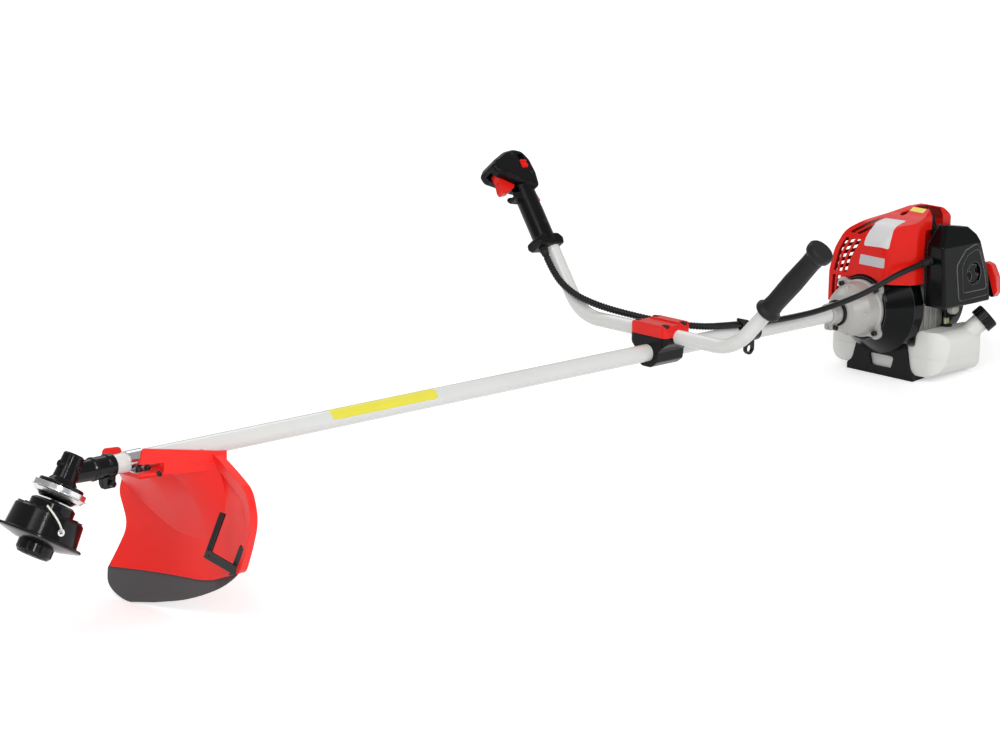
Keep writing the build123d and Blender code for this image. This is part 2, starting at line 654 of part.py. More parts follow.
def harness_hanger():
    ring = turned([(TUBE_R, 188), (TUBE_R + 2.2, 188), (TUBE_R + 2.2, 212), (TUBE_R, 212)], SHAFT)
    tab = prism(((190, -12), (210, -12), (210, -30), (200, -40), (190, -30)), SIDE, -2.5, 2.5,
                (1, 1, 6, 9, 6))
    ears = prism(((-13, -8), (-13, 8), (-27, 8), (-27, -8)), SHAFT, 191, 209, 2)
    eye = rod((200, -10, -27), (200, 10, -27), 6)
    slit = block((180, -40, -1), (220, -10, 1))
    bolt = rod((200, -21, -20), (200, -21, 20), 2.5)
    return ring + tab + ears - [eye, slit, bolt, rod((150, 0, 0), (250, 0, 0), TUBE_R)]


def tube_collar():
    ring = turned([(TUBE_R, -3), (17, -3), (17.6, 0), (17.6, 14), (16.4, 17), (TUBE_R, 17)], SHAFT)
    ears = prism(((-8, -11.5), (8, -11.5), (8, -25), (-8, -25)), SHAFT, 1, 13, (0.5, 0.5, 3, 3))
    slit = block((-6, -0.9, -40), (20, 0.9, -10))
    bolt = rod((7.5, -20, -20.5), (7.5, 20, -20.5), 2.5)
    return ring + ears - [rod((-20, 0, 0), (40, 0, 0), TUBE_R), slit, bolt]


def damper_ring():
    return turned([(TUBE_R, -8), (20.5, -8), (21, -6.5), (20.5, -3), (TUBE_R, -3)], SHAFT)


# Clutch and fan housings


def flange_bolts():
    return [cap_screw((FLANGE_X + 6, BOLT_HALF * i, BOLT_HALF * j), (1, 0, 0), 11)
            for i in (-1, 1) for j in (-1, 1)]


def clutch_housing():
    cone = turned([(0, FLANGE_X), (46, FLANGE_X), (46, FLANGE_X + 5), (44, FLANGE_X + 7), (41, -40),
                   (36, -28),
                   (27, -17), (20.5, -13), (20.5, -8), (0, -8)], SHAFT)
    lugs = [rod((FLANGE_X, BOLT_HALF * i, BOLT_HALF * j), (FLANGE_X + 6, BOLT_HALF * i, BOLT_HALF * j), 10)
            for i in (-1, 1) for j in (-1, 1)]
    side = 2 * BOLT_HALF + 14
    plate = SHAFT * Pos(0, 0, FLANGE_X) * extrude(RectangleRounded(side, side, 8), 6)
    rib = prism(((24, -15), (39, -30), (42, FLANGE_X + 6), (42, FLANGE_X), (24, FLANGE_X)), Location(), -3, 3)
    ribs = [SHAFT * Rot(0, 0, 90 * i) * Rot(90, 0, 0) * rib for i in range(4)]
    cavity = turned([(0, FLANGE_X - 1), (32.5, FLANGE_X - 1), (32.5, -46), (28, -36), (20, -34.5),
                     (TUBE_R, -34.5), (TUBE_R, -7), (0, -7)], SHAFT)
    return cone + plate + lugs + ribs - [cavity, group(flange_bolts())]


def fan_housing():
    shell = turned([(42, FLANGE_X), (50, FLANGE_X), (52, FLANGE_X - 4), (FAN_R, -104), (FAN_R, FAN_BACK),
                    (20, FAN_BACK), (20, FAN_BACK + 4), (FAN_R - 4, FAN_BACK + 4), (FAN_R - 4, -106),
                    (50, -72),
                    (42, -72)], SHAFT)
    lugs = [rod((FLANGE_X - 3.6, BOLT_HALF * i, BOLT_HALF * j), (FLANGE_X, BOLT_HALF * i, BOLT_HALF * j), 9)
            for i in (-1, 1) for j in (-1, 1)]
    return shell + lugs - group(flange_bolts())


# Engine


def crankcase():
    case = prism(((-52, -44), (-34, -62), (36, -62), (60, -44), (60, 8), (44, 33.9), (-44, 33.9),
                  (-52, 24)), SHAFT,
                 CRANK_BACK, FAN_BACK, 8)
    bore = rod((-154, 0, 0), (-120, 0, 0), 8)
    ribs = [block((x, 56, -40), (x + 3, 64, 6)) for x in (-136, -150, -164, -178)]
    return case + ribs - bore


def cylinder():
    fins = [(27, 34)]
    for i in range(6):
        z = 42 + 10.4 * i
        fins += [(27, z), (44, z), (44, z + 2.4), (27, z + 2.4)]
    fins += [(24, 102), (13, PLUG_SEAT), (0, PLUG_SEAT), (0, 34)]
    barrel = turned(fins, Pos(CYLINDER_X, 0, 0)) & block((CYLINDER_X - 33, -50, 0),
                                                         (CYLINDER_X + 33, 50, 200))
    ports = [block((CYLINDER_X - 15, -48, 40), (CYLINDER_X + 15, 0, 68)),
             block((CYLINDER_X - 15, 0, 38), (CYLINDER_X + 15, 50, 66))]
    return barrel + ports - rod((CYLINDER_X, 0, PLUG_SEAT - 8), (CYLINDER_X, 0, 140), 5)


def muffler():
    body = prism(((-192, 38), (-130, 38), (-130, 66), (-140, 72), (-182, 72), (-192, 66)), SIDE, 48, 62, 6)
    return fillet(body.edges().group_by(Axis.Y)[0], 5)


def spark_plug():
    thread = rod((CYLINDER_X, 0, PLUG_SEAT - 8), (CYLINDER_X, 0, PLUG_SEAT), 5)
    hexagon = Pos(CYLINDER_X, 0, PLUG_SEAT) * extrude(RegularPolygon(9, 6), 7)
    return thread + hexagon + rod((CYLINDER_X, 0, PLUG_SEAT + 7), (CYLINDER_X, 0, PLUG_SEAT + 16), 4)


def plug_boot():
    z = PLUG_SEAT
    cap = rod((CYLINDER_X, 0, z + 8), (CYLINDER_X, 0, z + 24), 8)
    arm = rod((CYLINDER_X, 0, z + 17), (CYLINDER_X + 6, 66, 144), 6)
    knurl = rod((CYLINDER_X + 3.5, 38, 136), (CYLINDER_X + 5.8, 62, 142.8), 9.5)
    lead = rod((CYLINDER_X + 4, 60, 141), (CYLINDER_X - 8, 67, 119), 3)
    return cap + arm + knurl + lead - spark_plug()


COVER_FRONT = ((-74, -4), (-73, 46), (-62, 88), (-41, 121), (-12, 139), (30, 161), (68, 163), (76, 150),
               (76, -4))
COVER_ROUND = (0.5, 60, 60, 40, 40, 20, 10, 8, 0.5)
COVER_SIDE = ((-70, -10), (-70, 112), (-80, 136), (-120, 148), (-144, 162), (-174, 160), (-192, 140),
              (-194, -10))
COVER_BEND = (0.5, 24, 16, 30, 20, 14, 16, 0.5)
COVER_PLAN = ((-70, -75), (-70, 42), (-100, 76), (-194, 76), (-194, -75))
COVER_PLAN_BEND = (5, 34, 22, 10, 10)


def cover_face():
    return make_face(FilletPolyline(*COVER_FRONT, radius=COVER_ROUND, close=True))


def cover_block(inset):
    front = cover_face()
    side = make_face(FilletPolyline(*COVER_SIDE, radius=COVER_BEND, close=True))
    plan = make_face(FilletPolyline(*COVER_PLAN, radius=COVER_PLAN_BEND, close=True))
    if inset:
        front, side, plan = [offset(face, -inset, kind=Kind.INTERSECTION) for face in (front, side, plan)]
    ahead = SHAFT * (Pos(0, 0, -260) * extrude(front, 260, dir=(0, 0, 1)))
    across = SIDE * (Pos(0, 0, -120) * extrude(side, 240, dir=(0, 0, 1)))
    down = Pos(0, 0, -50) * extrude(plan, 260, dir=(0, 0, 1))
    return ahead & across & down


def edge_band(start, end, back, ahead):
    """Strip that follows the cover's left-hand edge, from one distance inside it to another."""
    face = cover_face()
    strip_face = Pos(start, -0.35 * start) * face - Pos(end, -0.35 * end) * face
    return SHAFT * (Pos(0, 0, back) * extrude(strip_face, ahead - back, dir=(0, 0, 1)))


def grille_cuts():
    """Cooling grille: tall slots along the left-hand edge, in three tiers, and rows down the side."""
    tiers = (((-75, 6), (-46, 44), 2, -96), ((-75, 51), (0, 108), 3, -96), ((-60, 116), (8, 160), 2, -140))
    cuts = []
    for (y0, z0), (y1, z1), columns, back in tiers:
        for i in range(columns):
            tier = block((back, y0, z0), (-60, y1, z1))
            cuts.append(edge_band(8 + 9.5 * i, 14 + 9.5 * i, back, -60) & tier)
    side = edge_band(-6, 7, -184, -84)
    for i in range(8):
        for x in (-130, -180):
            cuts.append(side & block((x, -90, 8 + 12 * i), (x + 44, -40, 14 + 12 * i)))
    return cuts


def engine_cover():
    shell = cover_block(0) - cover_block(COVER_WALL)
    envelope = turned([(0, -40), (50.6, -40), (50.6, FLANGE_X - 1), (FAN_R + 0.6, -103), (FAN_R + 0.6, -127),
                       (0, -127)], SHAFT)
    below = block((-300, -40, -100), (0, 200, 43))
    floor = block((-300, -100, -100), (0, 0, 1))
    plug_bay = block((-168, 40, 112), (-140, 90, 180))
    intake = block((-260, 60, 20), (-124, 100, 128))
    rear = block((-230, -70, -20), (-188, 72, 118))
    screw_seat = Pos(-124, 32, 149) * Rot(-12, -20, 0) * Cylinder(5, 24)
    return shell - [envelope, below, floor, plug_bay, intake, rear, screw_seat] - grille_cuts()


# Intake side


def carburettor():
    body = block((CYLINDER_X - 14, 50, 36), (CYLINDER_X + 14, FILTER_BASE_Y, 70))
    bowl = rod((CYLINDER_X, 64, 28), (CYLINDER_X, 64, 37), 12)
    throat = rod((CYLINDER_X, 60, 54), (CYLINDER_X, FILTER_BASE_Y + 1, 54), 9)
    return body + bowl - throat


PRIMER = Pos(-190, 0, -4) * Rot(-90, 0, 0)


def air_cleaner_base():
    plate = prism(((-205, -19), (-175, -19), (-175, 10), (-124, 10), (-124, 104), (-151, 134), (-201, 126),
                   (-214, 114), (-233, 52), (-236, 10), (-205, 10)), SIDE, -FILTER_BASE_Y - 4,
                   -FILTER_BASE_Y, 4)
    primer_seat = turned([(0, FILTER_BASE_Y - 0.6), (12.5, FILTER_BASE_Y - 0.6), (12.5, FILTER_BASE_Y + 2),
                          (0, FILTER_BASE_Y + 2)], PRIMER)
    primer_pocket = turned([(0, FILTER_BASE_Y + 0.2), (10.4, FILTER_BASE_Y + 0.2), (10.4, FILTER_BASE_Y + 9),
                            (0, FILTER_BASE_Y + 9)], PRIMER)
    throat = rod((CYLINDER_X, 70, 54), (CYLINDER_X, 90, 54), 9)
    x, y, z = FILTER_KNOB
    post = rod((x, FILTER_BASE_Y + 4, z), (x, y - 12, z), 4)
    px, pz = CHOKE_PIVOT
    pivot = rod((px, 70, pz), (px, 90, pz), 2.5)
    return plate + post + primer_seat - [throat, pivot, primer_pocket]


def air_filter():
    pad = prism(((-226, 20), (-134, 20), (-134, 98), (-212, 106)), SIDE, -103, -FILTER_BASE_Y - 4, 6)
    x, _, z = FILTER_KNOB
    px, pz = CHOKE_PIVOT
    return pad - [rod((x, 70, z), (x, 150, z), 4.5), rod((px, 70, pz), (px, 90, pz), 8)]


FILTER_OUTLINE = ((FILTER_FRONT, 8), (-239, 8), (-236, 52), (-216, 116), (-202, 129), (-150, 137),
                  (FILTER_FRONT, 106))
FILTER_BEAD = ((-157, 17), (-233, 19), (-228, 56), (-210, 105), (-177, 96), (-154, 74))
FILTER_PANEL = ((-168, 29), (-228, 29), (-224, 56), (-211, 96), (-182, 88), (-168, 72))


def filter_shell(inset, near):
    """Cover of the air cleaner outside one plane: its outline, a drawn-in face and a slanted shoulder."""
    outline = offset(make_face(Polyline(*FILTER_OUTLINE, close=True)), -inset, kind=Kind.INTERSECTION)
    far = FILTER_FACE_Y - inset
    trunk = SIDE * (Pos(0, 0, -far - 2) * extrude(outline, far + 2 - near, dir=(0, 0, 1)))
    shoulder = SHAFT * prism(((near, 8 + inset), (far + 1, 8 + inset), (far - 7, 105),
                              (97 - inset, 137 - inset),
                              (near, 137 - inset)), Location(), -250, -100, 0)
    return trunk & shoulder


def air_cleaner_cover():
    near = FILTER_BASE_Y + 4.05
    outer = filter_shell(0, near)
    outer = fillet(outer.edges().filter_by(lambda e: e.center().Y > near + 4), 4.5)
    inner = filter_shell(3, near - 1)
    ring = prism(FILTER_BEAD, SIDE, -150, -FILTER_FACE_Y + 12, (8, 6, 40, 12, 14, 14)) - prism(
        FILTER_PANEL, SIDE, -151, 0, (6, 6, 40, 10, 12, 12))
    bead = filter_shell(-1.4, near) & ring
    x, y, z = FILTER_KNOB
    well = rod((x, y - 11, z), (x, y + 4, z), 17.5)
    cup = rod((x, y - 14, z), (x, y - 2, z), 19.5)
    stud_hole = rod((x, 90, z), (x, 160, z), 4.5)
    return outer - inner + bead + cup - [well, stud_hole, throttle_cable()]


def air_cleaner_knob():
    x, y, z = FILTER_KNOB
    knob = turned([(0, y - 10.6), (15.5, y - 10.6), (16, y - 9), (16, y - 4), (14.5, y - 2), (0, y - 2)],
                  Pos(x, 0, z) * Rot(-90, 0, 0))
    scallops = [Pos(x, y - 2, z) * Rot(0, 20, 0) * Pos(side * 12.5, 0, 0) * Rot(90, 0, 0) * Cylinder(7.5, 9)
                for side in (-1, 1)]
    return knob - scallops


def choke_lever():
    x, z = CHOKE_PIVOT
    arm = prism(((x + 4, z - 6), (x + 4, z + 6), (x - 22, z + 10), (x - 36, z + 8), (x - 36, z + 1),
                 (x - 20, z)), SIDE,
                -FILTER_BASE_Y + 0.3, -FILTER_BASE_Y + 3.3, (3, 3, 4, 2, 2, 4))
    return arm + rod((x, FILTER_BASE_Y - 3.3, z), (x, FILTER_BASE_Y + 3.6, z), 2.45)


def primer_bulb():
    return turned([(0, 82.6), (10, 82.6), (10, 85), (9, 91), (6, 94.5), (0, 95.5)], PRIMER)


# Fuel system


NECK_AXIS = Vector(-0.6, 0.45, 0.66).normalized()
NECK_BASE = Vector(-213, 103, -42)
CAP_SEAT = NECK_BASE + NECK_AXIS * 35


def fuel_tank():
    front = prism(((-112, TANK_FLOOR), (112, TANK_FLOOR), (120, TANK_TOP), (66, TANK_TOP), (62, -62.6),
                   (-56, -62.6),
                   (-62, TANK_TOP - 8), (-122, TANK_TOP - 8)), SHAFT, -234, -127,
                   (34, 30, 18, 12, 6, 6, 12, 22))
    plan = prism(((-234, -122), (-127, -122), (-127, 120), (-234, 120)), FLAT, -120, 0, (20, 30, 34, 20))
    body = front & plan
    neck = rod(tuple(NECK_BASE - NECK_AXIS * 6), tuple(CAP_SEAT), 15)
    wall = rod(tuple(NECK_BASE), tuple(CAP_SEAT + NECK_AXIS), 12)
    return body + neck - [wall, rod((-188, 76, -60), (-188, 76, 0), 6)]


def tank_cap():
    frame = Plane(origin=CAP_SEAT, z_dir=NECK_AXIS).location
    cap = turned([(15.4, -12), (20.5, -12), (20.5, 4), (19, 6), (0, 6), (0, 0.4), (15.4, 0.4)], frame)
    grooves = [frame * Rot(0, 0, 18 * i) * (Pos(21.2, 0, -3) * Box(2.6, 2.2, 15)) for i in range(20)]
    return cap - grooves


def tank_grommet():
    ring = turned([(0, -8), (6, -8), (6, 0), (9.5, 0), (9.5, 2.5), (6.5, 4), (0, 4)], Pos(-188, 76, TANK_TOP))
    return ring - fuel_line_pieces()


def fuel_line_pieces():
    clear = tube_along(((-185, 76, TANK_TOP - 8), (-185, 76, TANK_TOP + 14), (-183, 73, 2), (-178, 66, 22),
                        (-170, 64, 41)), 2.4)
    green = tube_along(((-191, 76, TANK_TOP - 8), (-191, 76, TANK_TOP + 16), (-191, 72, 8), (-189, 64, 30),
                        (-182, 60, 48), (-166, 58, 58)), 2.4)
    return [clear, green]


def fuel_lines():
    trimmed = [line - carburettor() for line in fuel_line_pieces()]
    return group(max(line.solids(), key=lambda solid: solid.volume) for line in trimmed)


# Stand


def stand():
    x0, x1, y = FOOT_FRONT_X, FOOT_BACK_X, FOOT_HALF_Y
    plate = prism(((-y - 4, -130), (y, -130), (y, -108), (57, -100), (48, -56), (-48, -56), (-60, -100),
                   (-y - 4, -108)),
                  SHAFT, x0 - 5, x0, (2, 2, 5, 14, 3, 3, 14, 5))
    window = prism(((-26, -84), (26, -84), (20, -104), (-20, -104)), SHAFT, x0 - 20, x0 + 10, 4)
    base = prism(((x1, -y), (x0, -y), (x0, y), (x1, y)), FLAT, -130, TANK_FLOOR, (12, 3, 3, 12))
    floor = Pos(FOOT_MID_X, 0, FLOOR_Z) * Rot(0, REST_TILT, 0) * Pos(0, 0, -50) * Box(400, 400, 100)
    return plate + base - [window, floor, rod((x0 - 20, 0, 0), (x0 + 20, 0, 0), FAN_R)]


# Recoil starter


PULL_AXIS = Vector(-0.3, 0.9, 0.32).normalized()
HANDLE_SEAT = Vector(-252, 89, 41)


def starter_housing():
    shell = turned([(0, CRANK_BACK), (66, CRANK_BACK), (69, CRANK_BACK - 4), (69, -240), (60, -252),
                    (0, -252)], SHAFT)
    shell -= block((-300, -100, -100), (-190, 100, -62))
    boss = rod(tuple(HANDLE_SEAT - PULL_AXIS * 44), tuple(HANDLE_SEAT), 9.5)
    vents = [SHAFT * Rot(0, 0, 30 * i) * (Pos(40, 0, -251) * Box(20, 7, 6)) for i in range(12)]
    rope_way = rod(tuple(HANDLE_SEAT - PULL_AXIS * 20), tuple(HANDLE_SEAT + PULL_AXIS), 3)
    return shell + boss - vents - rope_way


def starter_handle():
    frame = Plane(origin=HANDLE_SEAT, x_dir=(0, 0.33, -0.94), z_dir=PULL_AXIS).location
    stem = turned([(0, -18), (2, -18), (2, 0.4), (9, 0.4), (8, 14), (0, 14)], frame)
    grip = prism(((-18, 12), (36, 12), (38, 18), (31, 27), (9, 30), (-13, 27), (-20, 18)),
                 frame * Rot(90, 0, 0), -10, 10,
                 (5, 5, 4, 8, 30, 8, 4))
    return stem + grip


def cap_screws():
    ear = cap_screw((SOCKET_X + 8, 10.2, -21), (0, 1, 0), 19)
    hanger = cap_screw((200, -21, 8), (0, 0, 1), 15)
    collar = cap_screw((7.5, 8, -20.5), (0, 1, 0), 15)
    return group(guard_screws() + clamp_screws() + flange_bolts() + [ear, hanger, collar])


NODES = {
    "shaft_tube": shaft_tube, "shaft_bushes": shaft_bushes, "drive_shaft": drive_shaft,
    "clutch_drum": clutch_drum,
    "clutch_shoes": clutch_shoes, "flywheel": flywheel, "bevel_pinion": bevel_pinion,
    "bevel_gear": bevel_gear,
    "output_spindle": output_spindle, "gear_case": gear_case, "spindle_cup": spindle_cup,
    "head_housing": head_housing, "head_cover": head_cover, "line_spool": line_spool, "bump_knob": bump_knob,
    "bump_spring": bump_spring, "line_eyelets": line_eyelets, "trimmer_line": trimmer_line, "guard": guard,
    "guard_extension": guard_extension, "line_cutter": line_cutter, "guard_bracket": guard_bracket,
    "left_bar": lambda: bar(1), "right_bar": lambda: bar(-1), "handle_clamp_cap": handle_clamp_cap,
    "handle_clamp_body": handle_clamp_body, "left_grip": left_grip,
    "handle_shell_left": lambda: handle_shell(1), "handle_shell_right": lambda: handle_shell(-1),
    "throttle_trigger": throttle_trigger, "lockout_lever": lockout_lever, "stop_switch": stop_switch,
    "throttle_cable": throttle_cable, "cable_clip": cable_clip, "harness_hanger": harness_hanger,
    "tube_collar": tube_collar, "damper_ring": damper_ring, "clutch_housing": clutch_housing,
    "fan_housing": fan_housing, "crankcase": crankcase, "cylinder": cylinder, "muffler": muffler,
    "spark_plug": spark_plug, "plug_boot": plug_boot, "engine_cover": engine_cover,
    "carburettor": carburettor,
    "air_cleaner_base": air_cleaner_base, "air_filter": air_filter, "air_cleaner_cover": air_cleaner_cover,
    "air_cleaner_knob": air_cleaner_knob, "choke_lever": choke_lever, "primer_bulb": primer_bulb,
    "fuel_tank": fuel_tank, "tank_cap": tank_cap, "tank_grommet": tank_grommet, "fuel_lines": fuel_lines,
    "stand": stand, "starter_housing": starter_housing, "starter_handle": starter_handle,
    "cap_screws": cap_screws,
}

REST = Rot(0, -REST_TILT, 0) * Pos(-FOOT_MID_X, 0, -FLOOR_Z)

if __name__ == "__main__":
    os.makedirs("parts", exist_ok=True)
    print("throttle cable", round(route(CABLE_ROUTE).length), "mm, radii",
          [round(r) for r in corner_radii(CABLE_ROUTE)])
    for name, make in NODES.items():
        export_step(REST * make(), f"parts/{name}.step")
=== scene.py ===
import json
from math import cos, pi, radians, sin, sqrt

import bmesh
import bpy
from mathutils import Matrix, Vector
from mathutils.bvhtree import BVHTree


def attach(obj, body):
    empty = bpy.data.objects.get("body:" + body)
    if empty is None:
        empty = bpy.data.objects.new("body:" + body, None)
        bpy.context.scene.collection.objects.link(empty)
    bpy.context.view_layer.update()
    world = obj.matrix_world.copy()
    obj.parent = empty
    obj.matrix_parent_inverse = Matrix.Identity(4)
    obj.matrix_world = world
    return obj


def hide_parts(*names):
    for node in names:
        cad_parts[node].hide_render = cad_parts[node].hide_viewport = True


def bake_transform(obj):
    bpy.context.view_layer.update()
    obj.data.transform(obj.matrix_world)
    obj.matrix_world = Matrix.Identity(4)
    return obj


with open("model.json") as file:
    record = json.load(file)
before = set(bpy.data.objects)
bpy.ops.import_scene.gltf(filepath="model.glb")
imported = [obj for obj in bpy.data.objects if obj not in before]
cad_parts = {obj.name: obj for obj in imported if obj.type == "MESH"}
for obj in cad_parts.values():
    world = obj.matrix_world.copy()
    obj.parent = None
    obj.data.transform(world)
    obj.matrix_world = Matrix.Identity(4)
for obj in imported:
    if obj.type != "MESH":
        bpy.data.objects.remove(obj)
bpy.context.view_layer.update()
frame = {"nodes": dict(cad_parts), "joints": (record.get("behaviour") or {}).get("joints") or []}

node = frame["nodes"]
joint = {j["name"]: j for j in frame["joints"]}

# Viewpoint
# A long lens about five metres off the operator's front left, a little above the machine and rolled by
# two degrees, as a catalogue picture of a trimmer is taken.
CAMERA_PLACE = (3.9761, 3.2695, 1.5053)
CAMERA_TURN = (73.7511, 2.2463, 135.9045)
CAMERA_LENS = 118.8
CAMERA_SENSOR = 36.0
CAMERA_REACH = 60.0

camera_data = bpy.data.cameras.new("catalogue_camera")
camera_data.lens = CAMERA_LENS
camera_data.sensor_width = CAMERA_SENSOR
camera_data.clip_end = CAMERA_REACH
camera = bpy.data.objects.new("catalogue_camera", camera_data)
camera.location = CAMERA_PLACE
camera.rotation_euler = [radians(a) for a in CAMERA_TURN]
bpy.context.scene.collection.objects.link(camera)
bpy.context.scene.camera = camera

# Studio
# A sheet of white paper and four soft boxes in a white room. The paper glows a little for the camera, and
# more towards its edges, so that it reads as white and keeps the pale shadow under the stand and the guard.
PAPER_SIZE = 14.0
PAPER_MIDDLE = (0.8, 0, 0)
PAPER_WHITE = 0.86
PAPER_ROUGHNESS = 0.9
PAPER_GLOW = (0.42, 0.72)
PAPER_GLOW_REACH = (1.3, 3.6)
ROOM_LIGHT = 0.42
# Each box: its name, place, aim, width, height and power in watts.
SOFT_BOXES = (
    ("key_box", (3.3, 1.3, 3.4), (0.9, 0.0, 0.15), 2.6, 1.8, 52),
    ("side_box", (0.5, 3.8, 2.3), (0.7, 0.0, 0.2), 2.6, 1.4, 46),
    ("strip_box", (4.2, 3.7, 2.3), (0.8, 0.0, 0.2), 0.3, 1.8, 46),
    ("back_box", (-0.6, -2.6, 2.8), (0.7, 0.0, 0.2), 3.4, 1.4, 26),
)


def add(tree, kind, given=None, **settings):
    """A node in a tree: its kind, each input as a value or as another node's output, and its settings."""
    made = tree.nodes.new(kind)
    for setting, value in settings.items():
        setattr(made, setting, value)
    for label, value in (given or {}).items():
        if isinstance(value, bpy.types.NodeSocket):
            tree.links.new(value, made.inputs[label])
        else:
            made.inputs[label].default_value = value
    return made


def maths(tree, operation, a, b):
    return add(tree, "ShaderNodeMath", {0: a, 1: b}, operation=operation).outputs[0]


def seen_rays(tree):
    """Two masks: the rays that come from the camera or through glass, and these with a mirror's added."""
    path = add(tree, "ShaderNodeLightPath").outputs
    direct = maths(tree, "MAXIMUM", path["Is Camera Ray"], path["Is Transmission Ray"])
    return direct, maths(tree, "MAXIMUM", direct, path["Is Glossy Ray"])


half = PAPER_SIZE / 2
paper_mesh = bpy.data.meshes.new("studio_paper")
paper_mesh.from_pydata([(-half, -half, 0), (half, -half, 0), (half, half, 0), (-half, half, 0)], [],
                       [(0, 1, 2, 3)])
paper = bpy.data.materials.new("studio_paper")
paper.use_nodes = True
paper_tree = paper.node_tree
paper_shader = paper_tree.nodes["Principled BSDF"].inputs
paper_shader["Base Color"].default_value = (PAPER_WHITE, PAPER_WHITE, PAPER_WHITE, 1)
paper_shader["Roughness"].default_value = PAPER_ROUGHNESS
paper_shader["Specular IOR Level"].default_value = 0.0
paper_shader["Emission Color"].default_value = (1, 1, 1, 1)
paper_place = add(paper_tree, "ShaderNodeTexCoord").outputs["Object"]
paper_reach = add(paper_tree, "ShaderNodeVectorMath", {0: paper_place, 1: PAPER_MIDDLE},
                  operation="DISTANCE")
paper_level = add(paper_tree, "ShaderNodeMapRange",
                  {"Value": paper_reach.outputs["Value"],
                   "From Min": PAPER_GLOW_REACH[0], "From Max": PAPER_GLOW_REACH[1],
                   "To Min": PAPER_GLOW[0], "To Max": PAPER_GLOW[1]}, interpolation_type="SMOOTHSTEP")
paper_glow = maths(paper_tree, "MULTIPLY", seen_rays(paper_tree)[1], paper_level.outputs["Result"])
paper_tree.links.new(paper_glow, paper_shader["Emission Strength"])
paper_mesh.materials.append(paper)
paper_sheet = bpy.data.objects.new("studio_paper", paper_mesh)
bpy.context.scene.collection.objects.link(paper_sheet)

room = bpy.data.worlds.new("white_room")
room.use_nodes = True
room_shader = room.node_tree.nodes["Background"].inputs
room_level = add(room.node_tree, "ShaderNodeMapRange",
                 {"Value": seen_rays(room.node_tree)[0], "To Min": ROOM_LIGHT, "To Max": 1.0})
room_shader["Color"].default_value = (1, 1, 1, 1)
room.node_tree.links.new(room_level.outputs["Result"], room_shader["Strength"])
bpy.context.scene.world = room
bpy.context.scene.view_settings.view_transform = "Standard"

for name, place, aim, width, height, power in SOFT_BOXES:
    lamp = bpy.data.lights.new(name, "AREA")
    lamp.shape = "RECTANGLE"
    lamp.size = width
    lamp.size_y = height
    lamp.energy = power
    box = bpy.data.objects.new(name, lamp)
    box.location = place
    box.rotation_euler = (Vector(aim) - Vector(place)).to_track_quat("-Z", "Y").to_euler()
    bpy.context.scene.collection.objects.link(box)

# Drive tube
# Aluminium tube of 26 mm in gloss white powder coat with a faint orange peel, and a strip of plain yellow
# film stuck on its upper side. All is fixed along this tube, so a place is given in millimetres from the
# tube's collar: along the tube, to the operator's left, and up.
COLLAR_TO_HEAD = 1.495
TUBE_WHITE = (0.75, 0.76, 0.74)
FILM_YELLOW = (0.84, 0.77, 0.07)
FILM_SPAN = (863, 1057)
FILM_TURN = (8, 196)
FILM_RADIUS = 13.0
FILM_CORNER = (0.05, 0.12)
FILM_CELLS = (24, 32)
FILM_THICKNESS = 0.00012
PATCH_SCALE = 14.0
PATCH_RANGE = (0.3, 0.7)
EDGE_RANGE = (0.985, 0.86)
GRAIN_DEPTH = 0.001
JOIN_WITHIN = 1e-6

tube_way = Vector(joint["drive_spin"]["axis"])
collar = Vector(joint["drive_spin"]["pos_m"]) - tube_way * COLLAR_TO_HEAD
MACHINE = Matrix.Translation(collar) @ Matrix(
    (tube_way, (0, 1, 0), tube_way.cross(Vector((0, 1, 0))))).transposed().to_4x4()


def at(x, y, z):
    return MACHINE @ Vector((x / 1000, y / 1000, z / 1000))


def toward(x, y, z):
    return (MACHINE.to_3x3() @ Vector((x, y, z))).normalized()


def group_of(name, kind, takes, gives):
    """A node group with its named sockets; returns it with what it is given and what takes its result."""
    group = bpy.data.node_groups.new(name, kind)
    for label, socket, value in takes:
        made = group.interface.new_socket(label, in_out="INPUT", socket_type="NodeSocket" + socket)
        if value is not None:
            made.default_value = value
    for label, socket in gives:
        group.interface.new_socket(label, in_out="OUTPUT", socket_type="NodeSocket" + socket)
    return group, group.nodes.new("NodeGroupInput").outputs, group.nodes.new("NodeGroupOutput").inputs


def moulded_skin():
    """Group for moulded, cast and painted surfaces: patchy colour and gloss, and a fine grain as height."""
    group, given, result = group_of(
        "moulded_skin", "ShaderNodeTree",
        (("Colour", "Color", (0.5, 0.5, 0.5, 1)), ("Roughness", "Float", 0.4), ("Grain", "Float", 600.0),
         ("Patchiness", "Float", 0.1)),
        (("Colour", "Color"), ("Roughness", "Float"), ("Height", "Float")))
    place = add(group, "ShaderNodeTexCoord").outputs["Object"]
    grain = add(group, "ShaderNodeTexNoise", {"Vector": place, "Scale": given["Grain"], "Detail": 2.0})
    patch = add(group, "ShaderNodeTexNoise", {"Vector": place, "Scale": PATCH_SCALE, "Detail": 3.0})
    swing = add(group, "ShaderNodeMapRange",
                {"Value": patch.outputs["Fac"], "From Min": PATCH_RANGE[0], "From Max": PATCH_RANGE[1],
                 "To Min": -0.5, "To Max": 0.5})
    share = maths(group, "MULTIPLY", swing.outputs["Result"], given["Patchiness"])
    gloss = maths(group, "ADD", given["Roughness"], share)
    lift = maths(group, "ADD", share, 1.0)
    tint = add(group, "ShaderNodeMix", {"Factor": 1.0, "A": given["Colour"], "B": lift},
               data_type="RGBA", blend_type="MULTIPLY")
    group.links.new(tint.outputs["Result"], result["Colour"])
    group.links.new(gloss, result["Roughness"])
    group.links.new(grain.outputs["Fac"], result["Height"])
    return group


